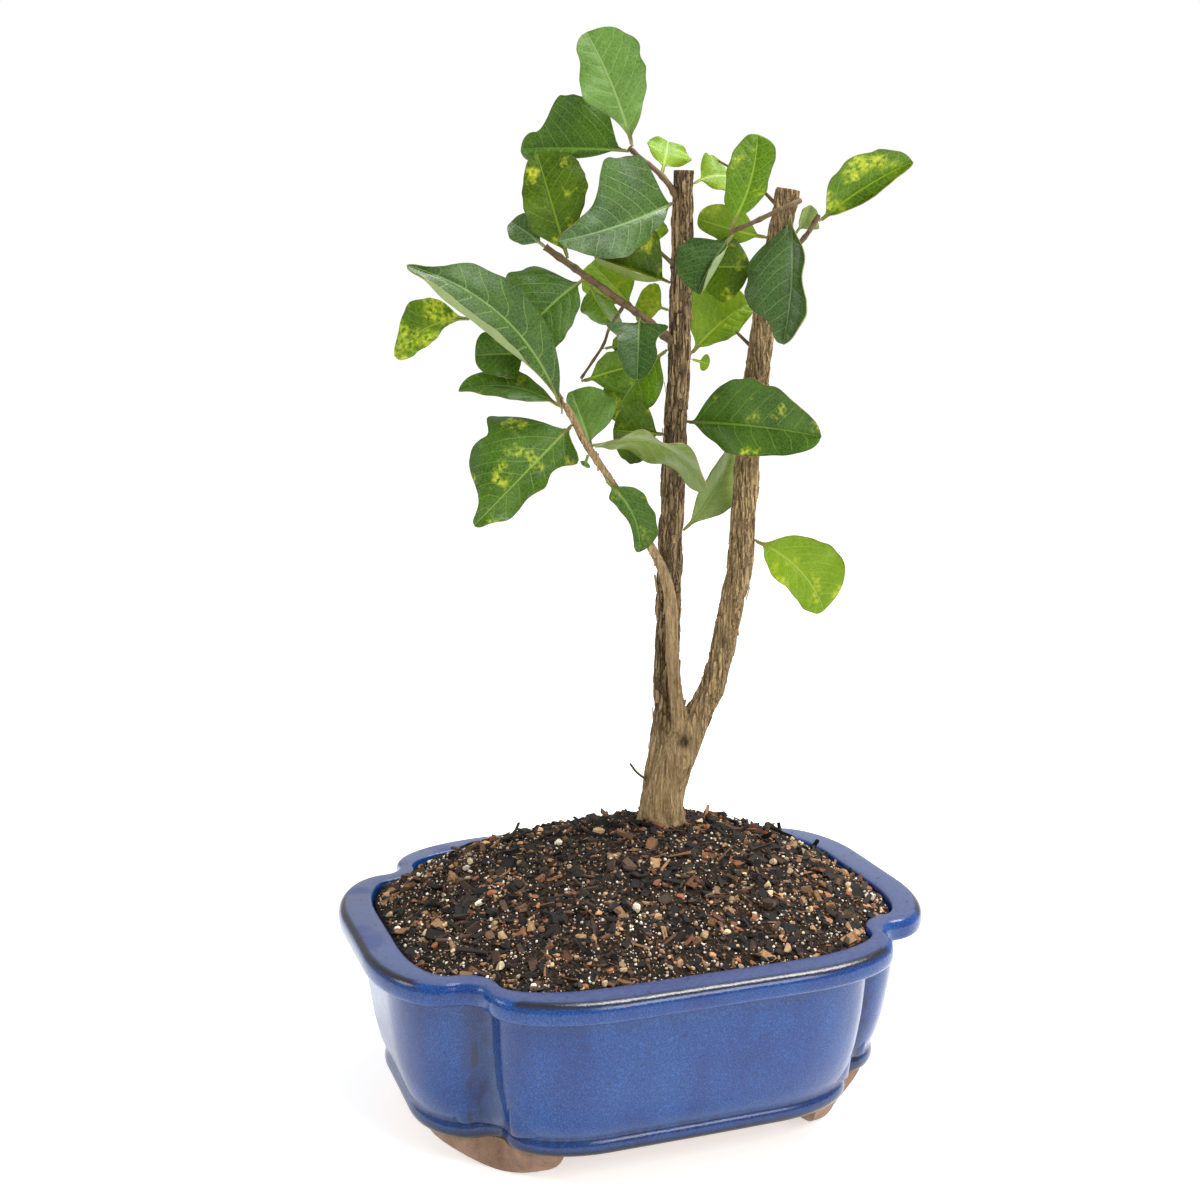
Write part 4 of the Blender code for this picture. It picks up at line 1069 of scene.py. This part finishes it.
# turn: heading, pitch and roll in degrees; size: length and the two half widths in millimetres
leaves = {
    "leaf_01": {"turn": (177, 66, -98), "size": (39, 10, 10.5), "widest": 0.6, "bend": (0.02, -0.03),
                "fold": (8, 8), "wave": 0.8, "tone": "bright", "yellow": 0.1,
                "left": (0.17, 0.34, 0.62, 0.92, 1.1, 1.02, 0.8, 0.62, 0.6),
                "right": (0.42, 0.72, 0.92, 1.08, 1.18, 1.24, 1.27, 1.22, 1.02)},
    "leaf_02": {"turn": (143, 2, -73), "size": (38, 6, 19), "widest": 0.52, "bend": (0.04, 0),
                "fold": (45, 5), "wave": 0.8, "curl": (-50, 0), "tone": "deep", "yellow": 0.1,
                "left": (0.2, 0.3, 0.45, 0.6, 0.8, 1, 1, 0.85, 0.75),
                "right": (0.5, 0.86, 0.96, 1, 1.04, 1.1, 1.02, 0.34, 0.3)},
    "leaf_03": {"turn": (146, 73, -75), "size": (35, 9.5, 14), "widest": 0.52, "fold": (6, 6), "wave": 0.6,
                "tone": "olive", "yellow": 0.15, "left": (0.5, 0.84, 0.94, 1, 1, 0.95, 0.87, 0.7, 0.53),
                "right": (0.3, 0.47, 0.65, 0.8, 0.92, 0.98, 0.97, 0.92, 0.66)},
    "leaf_04": {"turn": (-167, -16, -81), "size": (47, 9.5, 19.5), "widest": 0.42, "bend": (0.05, 0.03),
                "fold": (12, 5), "wave": 0.9, "tone": "cool",
                "left": (0.5, 0.62, 0.85, 1, 1.1, 1.08, 0.95, 0.76, 0.45),
                "right": (0.9, 1.04, 1.08, 1.12, 1.12, 0.54, 0.38, 0.28, 0.17)},
    "leaf_05": {"turn": (137, 33, -56), "size": (15, 5, 6.5), "wave": 0.3, "broad": 1.1, "tone": "cool"},
    "leaf_06": {"turn": (56, 50, 31), "size": (14, 5.5, 6.5), "fold": (15, 15), "wave": 0.9, "broad": 1.35,
                "tone": "glow", "yellow": 0.1},
    "leaf_07": {"turn": (6, 9, 53), "size": (14, 7, 7), "bend": (0.08, 0.05), "wave": 0.2, "broad": 1.2,
                "tone": "glow", "yellow": 0.2},
    "leaf_08": {"turn": (-7, 74, 84), "size": (31, 9, 6), "widest": 0.55, "bend": (0.03, -0.06),
                "fold": (5, 15), "wave": 0.4, "tone": "fresh", "yellow": 0.25,
                "left": (0.52, 0.72, 0.83, 0.92, 0.95, 0.95, 0.88, 0.78, 0.58),
                "right": (0.45, 0.72, 0.9, 0.97, 0.95, 0.98, 1.03, 1.15, 1.08)},
    "leaf_09": {"turn": (-32, 32, 114), "size": (35, 11, 4.5), "widest": 0.45, "bend": (0.03, 0.05),
                "fold": (8, 28), "curl": (0, 30), "tone": "fresh", "yellow": 0.8,
                "left": (0.55, 0.82, 0.98, 1.08, 1.1, 1, 0.98, 0.9, 0.62),
                "right": (0.5, 0.75, 0.9, 1, 1, 0.9, 0.75, 0.55, 0.35)},
    "leaf_10": {"turn": (-124, -76, -8), "size": (43, 11, 14), "bend": (0.05, 0.04), "fold": (35, 5),
                "wave": 1.2, "curl": (30, -20), "tone": "cool",
                "left": (0.2, 0.5, 0.68, 0.58, 0.5, 0.66, 0.98, 1, 0.66),
                "right": (0.43, 0.84, 1.12, 1.16, 1.1, 1.1, 1.02, 0.5, 0.32)},
    "leaf_11": {"turn": (-24, 61, 139), "size": (11, 5.5, 5.5), "fold": (30, 30), "wave": 0.2, "tone": "pale",
                "yellow": 0.1},
    "leaf_12": {"turn": (146, 15, -103), "size": (24, 4, 6.5), "wave": 0.4, "broad": 1.25, "tone": "glow",
                "yellow": 0.2},
    "leaf_13": {"turn": (176, -58, -73), "size": (22, 5.5, 10), "widest": 0.55, "bend": (0.05, -0.05),
                "fold": (40, 5), "wave": 0.3, "rolled": (0.35, 1), "tone": "shade",
                "left": (0.4, 0.7, 0.9, 1, 1, 0.95, 0.85, 0.7, 0.5),
                "right": (0.5, 0.9, 1.08, 1.2, 1.24, 1.2, 1.14, 1.05, 0.9)},
    "leaf_14": {"turn": (151, 1, -90), "size": (20, 9, 7.5), "bend": (0.04, 0), "fold": (15, 10), "wave": 0.4,
                "broad": 1.3, "tone": "olive", "yellow": 0.5},
    "leaf_15": {"turn": (-6, 39, 87), "size": (27, 13.5, 5.5), "bend": (0.05, 0.06), "fold": (8, 25),
                "broad": 1.15, "tone": "glow", "yellow": 0.3,
                "left": (0.6, 0.85, 0.97, 1, 1, 1, 0.97, 0.9, 0.7),
                "right": (0.4, 0.6, 0.8, 0.95, 1, 1, 0.95, 0.8, 0.6)},
    "leaf_16": {"turn": (-25, -15, 86), "size": (6, 3, 3), "wave": 0, "tone": "glow"},
    "leaf_17": {"turn": (-50, -3, 97), "size": (50, 16.5, 10.5), "widest": 0.48, "bend": (0.04, 0.03),
                "fold": (5, 40), "wave": 0.6, "tone": "deep", "yellow": 0.15,
                "left": (0.5, 0.78, 0.92, 1, 1, 0.95, 0.85, 0.7, 0.45),
                "right": (0.4, 0.7, 0.9, 1, 1, 0.95, 0.9, 0.8, 0.6)},
    "leaf_18": {"turn": (-5, 59, 100), "size": (35, 9, 9), "widest": 0.55, "bend": (0.05, -0.05),
                "fold": (40, 20), "twist": 30, "tone": "pale"},
    "leaf_19": {"turn": (-28, -45, 82), "size": (34, 12.5, 8.5), "widest": 0.55, "bend": (0.05, 0.11),
                "tone": "glow", "yellow": 0.6, "left": (0.6, 0.75, 0.88, 0.98, 1.05, 1.1, 1.12, 1.08, 0.92),
                "right": (0.5, 0.75, 0.92, 0.9, 0.84, 0.84, 0.88, 0.85, 0.6)},
    "leaf_20": {"turn": (-22, -65, 100), "size": (27, 7.5, 5.5), "bend": (0.04, 0.14), "fold": (8, 25),
                "wave": 0.3, "tone": "deep", "yellow": 0.6,
                "left": (0.75, 0.9, 0.93, 0.95, 0.97, 0.99, 0.98, 0.95, 0.85),
                "right": (0.7, 0.72, 0.7, 0.6, 0.45, 0.42, 0.4, 0.4, 0.4)},
    "leaf_21": {"turn": (-18, -21, 145), "size": (41, 12.5, 11), "bend": (-0.22, 0.04), "fold": (25, 10),
                "wave": 1.3, "tone": "pale", "yellow": 0.1},
    "leaf_22": {"turn": (-179, -43, -72), "size": (47, 11.5, 19.5), "widest": 0.48, "bend": (0.04, 0),
                "fold": (-30, 6), "wave": 1.6, "curl": (20, -20), "tone": "deep", "yellow": 0.5,
                "left": (1.05, 0.6, 0.5, 0.7, 0.6, 0.56, 0.7, 0.6, 0.26),
                "right": (0.7, 0.92, 1.24, 0.98, 1.02, 0.98, 0.84, 0.36, 0.14)},
    "leaf_23": {"turn": (154, 8, -54), "size": (35, 4.5, 9), "bend": (0.05, -0.1), "fold": (35, 8),
                "wave": 0.6, "tone": "deep", "yellow": 0.4,
                "left": (0.7, 1.1, 1.4, 1.6, 1.6, 1.45, 1.2, 0.85, 0.5),
                "right": (0.3, 0.45, 0.62, 0.7, 0.74, 0.74, 0.7, 0.6, 0.5)},
    "leaf_24": {"turn": (-179, 42, -85), "size": (70, 9.5, 9), "widest": 0.45, "bend": (0.04, -0.12),
                "fold": (12, 5), "twist": 15, "wave": 1, "rolled": (0.64, 1), "tone": "curly", "yellow": 0.1,
                "left": (0.2, 0.45, 0.8, 1.1, 1.25, 1.2, 1.2, 1.1, 0.4),
                "right": (0.6, 0.95, 1.1, 1.1, 1.22, 1.18, 1.12, 0.95, 0.16)},
    "leaf_25": {"turn": (172, -26, -75), "size": (28, 7, 8.5), "bend": (0.05, -0.12), "tone": "fresh",
                "yellow": 1, "left": (0.15, 0.25, 0.4, 0.7, 0.8, 0.8, 0.77, 0.72, 0.55),
                "right": (0.85, 1.05, 1.12, 1.15, 1.12, 1.08, 0.85, 0.5, 0.28)},
    "leaf_26": {"turn": (158, -1, -67), "size": (19, 7, 6.5), "fold": (10, 20), "wave": 0.3, "broad": 1.3,
                "tone": "deep", "yellow": 0.3, "left": (0.9, 1, 1, 0.95, 0.9, 0.85, 0.8, 0.75, 0.6),
                "right": (0.4, 0.6, 0.8, 0.9, 0.95, 1, 1, 0.9, 0.75)},
    "leaf_27": {"turn": (176, -44, -79), "size": (34, 11, 16), "bend": (0.05, -0.05), "fold": (10, 8),
                "wave": 0.6, "curl": (0, -25), "tone": "deep", "yellow": 0.1,
                "left": (0.55, 0.7, 0.85, 0.95, 1, 1, 0.98, 0.85, 0.6),
                "right": (0.8, 1, 1.06, 1.1, 1.1, 1.06, 0.98, 0.8, 0.55)},
    "leaf_28": {"turn": (121, 39, -53), "size": (24, 7.5, 7.5), "wave": 0.4, "broad": 1.25, "tone": "glow",
                "yellow": 0.15},
    "leaf_29": {"turn": (37, -44, 166), "size": (21, 6.5, 5.5), "fold": (40, 10), "wave": 0.3, "broad": 1.25,
                "tone": "fresh", "yellow": 0.2},
    "leaf_30": {"turn": (170, 19, -93), "size": (27, 5, 10), "bend": (0.04, 0), "fold": (35, 10),
                "curl": (60, 0), "broad": 1.6, "tone": "olive", "yellow": 0.5},
    "leaf_31": {"turn": (93, 52, -15), "size": (11, 4, 4), "wave": 0.2, "broad": 1.3, "tone": "glow",
                "yellow": 0.6},
    "leaf_32": {"turn": (-114, -58, -3), "size": (23, 11.5, 11.5), "widest": 0.45, "bend": (0.12, 0),
                "fold": (20, 20), "wave": 0.6, "tone": "shade",
                "left": (0.95, 0.84, 0.58, 0.52, 0.54, 0.56, 0.54, 0.5, 0.4),
                "right": (1, 0.92, 0.7, 0.62, 0.62, 0.62, 0.58, 0.5, 0.4)},
    "leaf_33": {"turn": (135, 15, -72), "size": (12, 5, 5), "wave": 0.2, "broad": 1.5, "tone": "glow",
                "yellow": 0.7},
    "leaf_34": {"turn": (-14, 15, 100), "size": (21, 5.5, 5.5), "bend": (0.05, 0.04), "fold": (15, 15),
                "wave": 0.8, "broad": 1.3, "tone": "fresh", "yellow": 0.6},
    "leaf_35": {"turn": (158, -53, -69), "size": (30, 6.5, 5.5), "bend": (0.05, -0.05), "fold": (10, 20),
                "wave": 0.6, "broad": 1.6, "tone": "fresh", "yellow": 0.5},
    "leaf_36": {"turn": (176, 6, -86), "size": (18, 7.5, 7.5), "broad": 1.5, "tone": "olive", "yellow": 0.6},
    "leaf_37": {"turn": (108, 58, -39), "size": (22, 3, 10.5), "fold": (20, 8), "wave": 0.4, "broad": 1.25,
                "tone": "bright"},
    "leaf_38": {"turn": (-29, 13, 109), "size": (7, 3.5, 3.5), "wave": 0.2, "tone": "fresh", "yellow": 0.6},
    "leaf_39": {"turn": (92, -56, -133), "size": (5, 2, 2), "wave": 0, "tone": "deep"},
}
blade = {"steps": 44, "strips": 18, "smallSteps": 24, "smallStrips": 12, "smallBelow": 16,
         "thickness": mm(0.3), "stalk": 2.5, "stalkHalf": 0.45, "tipFrom": 0.86,
         "outline": (0.42, 0.72, 0.9, 0.99, 1, 0.97, 0.9, 0.78, 0.6),
         "waves": 2.5, "veinPairs": 8.125, "veinDepth": 0.2, "quilt": 0.26, "ruffle": 1.1, "ragged": 0.11,
         "rollRadius": 1.0, "rollMost": 2.5, "reachScale": 40, "phaseScale": 20}
midrib = {"knots": 15, "behind": 0.9, "reach": 0.86, "radius": 0.5, "taper": 0.78, "fullFrom": 22}
# dark and light green, the veins, the underside, and how much the upper side shines
leafTones = {
    "deep": {"low": (34, 66, 2), "high": (68, 104, 16), "vein": (120, 150, 58),
             "under": (112, 134, 74), "sheen": 0.26},
    "olive": {"low": (38, 62, 0), "high": (72, 100, 6), "vein": (116, 140, 36),
              "under": (112, 132, 56), "sheen": 0.18},
    "shade": {"low": (26, 54, 6), "high": (54, 84, 26), "vein": (104, 130, 70),
              "under": (132, 150, 104), "sheen": 0.2},
    "curly": {"low": (28, 58, 2), "high": (58, 92, 20), "vein": (122, 150, 70),
              "under": (138, 154, 100), "sheen": 0.36},
    "cool": {"low": (32, 60, 8), "high": (62, 94, 30), "vein": (120, 148, 86),
             "under": (124, 144, 92), "sheen": 0.4},
    "bright": {"low": (62, 102, 18), "high": (98, 136, 50), "vein": (140, 168, 88),
               "under": (124, 144, 84), "sheen": 0.4},
    "fresh": {"low": (48, 82, 0), "high": (90, 126, 10), "vein": (140, 166, 54),
              "under": (116, 142, 60), "sheen": 0.2},
    # this tone is painted light: leaves lit through from behind are painted a brighter yellow-green
    "glow": {"low": (84, 122, 0), "high": (124, 154, 20), "vein": (156, 178, 68),
             "under": (120, 150, 44), "sheen": 0.2},
    "pale": {"low": (96, 120, 38), "high": (124, 144, 68), "vein": (150, 168, 104),
             "under": (114, 134, 72), "sheen": 0.36},
}


def leafRise(leaf, along):
    # the midrib's way: bulge out of the blade and within it
    length = leaf["size"][0]
    part = along / length
    bulge = 4 * part * (1 - part)
    return leaf["bend"][1] * length * bulge, leaf["bend"][0] * length * bulge


def halfWidth(leaf, along, across):
    length, left, right = leaf["size"]
    most = (left if across > 0 else right) * leaf["broad"]
    part = (along - blade["stalk"]) / (length - blade["stalk"])
    if part <= 0:
        return blade["stalkHalf"]
    outline = leaf["left" if across > 0 else "right"]
    if not outline:
        outline = blade["outline"]
        part = part ** (math.log(0.5) / math.log(leaf["widest"]))
    stations = np.linspace(0, 1, len(outline) + 2)
    shares = (0, *outline, outline[-1])
    share = sum(np.interp(part + shift, stations, shares) for shift in (-0.035, 0, 0.035)) / 3
    if part > blade["tipFrom"]:
        share *= math.sqrt(max(0.0, 1 - ((part - blade["tipFrom"]) / (1 - blade["tipFrom"])) ** 2))
    return max(most * float(share), blade["stalkHalf"] * (1 - part), 0.12)


def crossSection(leaf, reach, half, across):
    # each half is cupped: flatter by the midrib, turned over a little at its margin, and some roll up there
    which = 0 if across > 0 else 1
    curl = math.radians(leaf["fold"][which]) * (1 - 0.25 * abs(across))
    curl += math.radians(leaf["curl"][which]) * across ** 2
    radius = blade["rollRadius"]
    flat = min(reach, leaf["rolled"][which] * half)
    turned = min((reach - flat) / radius, blade["rollMost"])
    tail = reach - flat - turned * radius
    side = flat * math.cos(curl) + radius * (math.sin(curl + turned) - math.sin(curl))
    side += tail * math.cos(curl + turned)
    lift = flat * math.sin(curl) + radius * (math.cos(curl) - math.cos(curl + turned))
    return math.copysign(side, across), lift + tail * math.sin(curl + turned)


def leafPoint(leaf, share, across, seed):
    # the point in the leaf's own frame, and what the material needs to know about it
    length = leaf["size"][0]
    first = 2 / blade["steps"]
    if share <= first:
        along = blade["stalk"] * share / first
    else:
        along = blade["stalk"] + (length - blade["stalk"]) * (1 - (1 - (share - first) / (1 - first)) ** 1.3)
    part = along / length
    half = halfWidth(leaf, along, across)
    ruffle = blade["ruffle"] * noise.noise(Vector((part * 3.2, 2.0 if across > 0 else 5.0, seed)))
    ragged = noise.noise(Vector((part * 7.5, 8.0 if across > 0 else 3.0, seed)))
    reach = abs(across) * half * (1 + blade["ragged"] * ragged * abs(across))
    side, lift = crossSection(leaf, reach, half, across)
    wave = leaf["wave"] * math.sin(math.tau * blade["waves"] * part)
    lift += (wave + ruffle * half * 0.25) * across ** 2
    veinStart = along - (0.62 * reach + 0.03 * reach ** 2)
    phase = veinStart / length * blade["veinPairs"] + (0.5 if across > 0 else 0.0) + 10
    phase += 0.35 * noise.noise(Vector((part * 2.5, across * 1.6, seed)))
    near = abs(phase - round(phase)) * 2
    inBlade = min(1.0, reach / 1.2) * (1 - abs(across) ** 3)
    size = min(1.0, length / 30)
    lift += size * blade["quilt"] * math.sin(math.pi * near / 2) * inBlade
    lift -= size * blade["veinDepth"] * math.exp(-(reach / 0.45) ** 2)
    turn = math.radians(leaf["twist"]) * (part - 0.5)
    sway, arch = leafRise(leaf, along)
    y = side * math.cos(turn) - lift * math.sin(turn) + sway
    z = side * math.sin(turn) + lift * math.cos(turn) + arch
    return mm(along, y, z), (part, reach / blade["reachScale"], phase / blade["phaseScale"], abs(across))


def leafBase(name, ahead):
    # the stalk's end on the leaf's own solid
    mesh = frame["nodes"][name].data
    points = np.array([vert.co for vert in mesh.vertices])
    reach = points @ np.array(ahead)
    return Vector(points[reach < reach.min() + mm(0.35)].mean(0))


def buildLeaf(name, leaf, materials):
    seed = float(name[-2:]) * 3.7
    steps, strips = blade["steps"], blade["strips"]
    if leaf["size"][0] < blade["smallBelow"]:
        steps, strips = blade["smallSteps"], blade["smallStrips"]
    dropSelection()
    bpy.ops.mesh.primitive_grid_add(x_subdivisions=steps, y_subdivisions=strips, size=2)
    obj = bpy.context.object
    mesh = obj.data
    facts = np.zeros((len(mesh.vertices), 4), np.float32)
    for i, vert in enumerate(mesh.vertices):
        vert.co, facts[i] = leafPoint(leaf, (vert.co.x + 1) / 2, vert.co.y, seed)
    place = mesh.attributes.new("bladePlace", "FLOAT_COLOR", "POINT")
    place.data.foreach_set("color", facts.ravel())
    for material in materials:
        mesh.materials.append(material)
    applyModifier(obj, "SOLIDIFY", thickness=blade["thickness"], offset=-1, material_offset=1,
                  material_offset_rim=2)
    obj = joined([obj, leafStalk(leaf, materials[2])])
    heading, pitch, roll = (math.radians(angle) for angle in leaf["turn"])
    turn = Euler((roll, -pitch, heading)).to_matrix()
    obj.matrix_world = Matrix.Translation(leafBase(name, turn @ Vector((1, 0, 0)))) @ turn.to_4x4()
    settle(obj)
    smooth(obj, 60)
    return finishPiece(obj, name + "Blade", [name])


def leafStalk(leaf, material):
    # the stalk runs on under the blade as its raised midrib
    length = leaf["size"][0]
    knots = []
    for i in range(midrib["knots"]):
        part = i / (midrib["knots"] - 1)
        along = -midrib["behind"] + (midrib["reach"] * length + midrib["behind"]) * part
        sway, arch = leafRise(leaf, max(0.0, along))
        thin = midrib["radius"] * (1 - midrib["taper"] * part) * min(1.0, length / midrib["fullFrom"])
        knots.append((mm(along, sway, arch - 0.25 - thin * (0.9 if i > 2 else 0.3)), thin))
    obj = rod("stalk", knots, 2)
    obj.data.materials.append(material)
    return obj


def makeVeins():
    # how near a point of the blade is to its midrib and to a side vein
    group, given, out = newGroup(
        "leafVeins", (("Place", "Color", (0, 0, 0, 1)), ("Alpha", "Float", 0.0), ("Width", "Float", 1.0)),
        (("Midrib", "Float"), ("Side", "Float"), ("Margin", "Float")))
    parts = put(group, "SeparateColor", {0: given["Place"]}).outputs
    reach = maths(group, "MULTIPLY", parts[1], blade["reachScale"])
    taper = span(group, parts[0], 0.0, 1.0, 0.55, 0.12)
    midrib = span(group, maths(group, "DIVIDE", reach, taper), 0.5, 1.3, 1.0, 0.0)
    phase = maths(group, "MULTIPLY", parts[2], blade["phaseScale"])
    off = maths(group, "ABSOLUTE", maths(group, "SUBTRACT", phase, maths(group, "ROUND", phase)))
    side = span(group, maths(group, "DIVIDE", off, given["Width"]), 0.008, 0.045, 1.0, 0.0)
    fade = span(group, given["Alpha"], 0.75, 0.97, 1.0, 0.0)
    group.links.new(midrib, out["Midrib"])
    group.links.new(maths(group, "MULTIPLY", side, fade), out["Side"])
    group.links.new(span(group, given["Alpha"], 0.95, 1.0), out["Margin"])
    return group


def makeLeafMaterials(toneName, yellow, veins, label):
    tone = leafTones[toneName]
    material, tree, shader, place = newMaterial("leafUpper" + label, Specular_IOR_Level=tone["sheen"])
    where = put(tree, "Attribute", attribute_name="bladePlace").outputs
    found = useGroup(tree, veins, {"Place": where["Color"], "Alpha": where["Alpha"]})
    patch = mottled(tree, place, 11, 0.3, 0.7)
    fine = mottled(tree, place, 1.0, 0.35, 0.65, detail=6.0)
    cloudy = maths(tree, "ADD", maths(tree, "MULTIPLY", patch, 0.65), maths(tree, "MULTIPLY", fine, 0.35))
    green = blend(tree, cloudy, paint(*tone["low"]), paint(*tone["high"]))
    if yellow > 0:
        cloud = mottled(tree, place, 7.5, 0.66 - 0.22 * yellow, 0.78 - 0.16 * yellow, detail=3.0)
        flecks = mottled(tree, place, 1.4, 0.38, 0.62, detail=4.0)
        flecked = maths(tree, "MULTIPLY", flecks, 0.8)
        green = touch(tree, green, cloud, flecked, paint(198, 204, 56))
    vein = paint(*tone["vein"])
    # the finest veins draw a pale net, and the cells between them are a little darker
    net = put(tree, "TexVoronoi", {"Vector": place, "Scale": 900.0}, feature="DISTANCE_TO_EDGE").outputs[0]
    green = blend(tree, span(tree, net, 0.02, 0.14, 0.2, 0.0), green, vein)
    green = touch(tree, green, found["Side"], 0.5, vein)
    green = touch(tree, green, found["Midrib"], 0.8, vein)
    green = touch(tree, green, found["Margin"], 0.55, paint(66, 58, 24))
    tree.links.new(green, shader.inputs["Base Color"])
    rough = span(tree, fine, 0.0, 1.0, 0.3, 0.46)
    tree.links.new(rough, shader.inputs["Roughness"])
    cells = maths(tree, "MULTIPLY", net, 1.5)
    height = maths(tree, "SUBTRACT", cells, maths(tree, "MULTIPLY", found["Side"], 0.6))
    bumpFrom(tree, shader, height, 0.45, mm(0.1))

    under, tree, shader, place = newMaterial("leafUnder" + label, Roughness=0.6, Specular_IOR_Level=0.3)
    where = put(tree, "Attribute", attribute_name="bladePlace").outputs
    found = useGroup(tree, veins, {"Place": where["Color"], "Alpha": where["Alpha"], "Width": 1.3})
    below = paint(*tone["under"])
    shade = blend(tree, mottled(tree, place, 8, 0.3, 0.7), below, tuple(0.82 * c for c in below[:3]) + (1,))
    shade = touch(tree, shade, found["Side"], 0.6, paint(150, 170, 104))
    shade = touch(tree, shade, found["Midrib"], 0.8, paint(158, 174, 110))
    tree.links.new(shade, shader.inputs["Base Color"])
    return material, under


def makeStalk():
    material, tree, shader, place = newMaterial("leafStalk", Roughness=0.55)
    colour = blend(tree, mottled(tree, place, 3, 0.3, 0.7), paint(110, 84, 52), paint(142, 140, 78))
    tree.links.new(colour, shader.inputs["Base Color"])
    return material


def buildLeaves():
    veins = makeVeins()
    stalk = makeStalk()
    made = {}
    for name, own in leaves.items():
        leaf = {**plainLeaf, **own}
        key = (leaf["tone"], round(leaf["yellow"] * 4) / 4)
        if key not in made:
            made[key] = makeLeafMaterials(*key, veins, f"{key[0].capitalize()}{round(key[1] * 100)}")
        buildLeaf(name, leaf, (*made[key], stalk))


def buildScreens():
    material, tree, shader, place = newMaterial("screenPlastic", Roughness=0.6)
    dust = mottled(tree, place, 3)
    tree.links.new(blend(tree, dust, paint(30, 30, 30), paint(58, 52, 46)), shader.inputs["Base Color"])
    for number in (1, 2):
        screen = frame["nodes"][f"drain_screen_{number}"]
        screen.data.materials.clear()
        screen.data.materials.append(material)


# where it stands, the light and the camera

stage = {"floorHalf": 6.0, "floorDrop": mm(0.2), "floorGlow": 0.56, "floorColour": 0.8, "sky": 0.6,
         "eye": (-0.2030, -0.5352, 0.2928), "down": 11.15, "aside": 19.72, "lens": 51.0, "nearest": 0.01,
         "lit": (0.01, 0, 0.15)}
lamps = {
    "lipLamp": {"at": (0.42, -0.08, 1.07), "size": (0.75, 0.32), "power": 14.0, "turn": (0, 22, 0)},
    "frontLamp": {"at": (0.5, -1.3, 1.0), "size": (0.7, 0.7), "power": 12.0},
    "sideLamp": {"at": (-1.2, 0.3, 0.9), "size": (0.5, 0.5), "power": 4.0},
}


def makeFloor():
    dropSelection()
    bpy.ops.mesh.primitive_plane_add(size=2 * stage["floorHalf"], location=(0, 0, -stage["floorDrop"]))
    floor = bpy.context.object
    floor.name = "paleFloor"
    material, _, shader, _ = newMaterial("paleFloor", Roughness=0.9, Specular_IOR_Level=0.1)
    shader.inputs["Base Color"].default_value = (*[stage["floorColour"]] * 3, 1)
    shader.inputs["Emission Color"].default_value = (1, 1, 1, 1)
    shader.inputs["Emission Strength"].default_value = stage["floorGlow"]
    floor.data.materials.append(material)


def makeRoom():
    # the room reads white behind the tree and lights it a little less strongly
    world = bpy.data.worlds.new("paleRoom")
    world.use_nodes = True
    tree = world.node_tree
    sky = tree.nodes["Background"]
    sky.inputs[0].default_value = (1, 1, 1, 1)
    seen = put(tree, "LightPath").outputs[0]
    tree.links.new(span(tree, seen, 0.0, 1.0, stage["sky"], 1.0), sky.inputs[1])
    bpy.context.scene.world = world


def placeLamps():
    for name, lamp in lamps.items():
        light = bpy.data.lights.new(name, "AREA")
        light.shape = "RECTANGLE"
        light.size, light.size_y = lamp["size"]
        light.energy = lamp["power"]
        obj = bpy.data.objects.new(name, light)
        obj.location = lamp["at"]
        if "turn" in lamp:
            obj.rotation_euler = [math.radians(angle) for angle in lamp["turn"]]
        else:
            obj.rotation_euler = (Vector(stage["lit"]) - obj.location).to_track_quat("-Z", "Y").to_euler()
        bpy.context.scene.collection.objects.link(obj)


def placeCamera():
    lens = bpy.data.cameras.new("eye")
    lens.lens = stage["lens"]
    lens.clip_start = stage["nearest"]
    camera = bpy.data.objects.new("eye", lens)
    camera.location = stage["eye"]
    camera.rotation_euler = (math.radians(90 - stage["down"]), 0, -math.radians(stage["aside"]))
    bpy.context.scene.collection.objects.link(camera)
    bpy.context.scene.camera = camera
    bpy.context.scene.view_settings.view_transform = "Standard"


clay = makeClay()
buildPot(makeGlaze(), clay)
buildFeet(clay)
print("pot done")
buildScreens()
buildSoil()
buildGrains()
print("soil done")
buildWood()
print("wood done")
buildLeaves()
print("leaves done")
makeFloor()
makeRoom()
placeLamps()
placeCamera()
print("stage done")
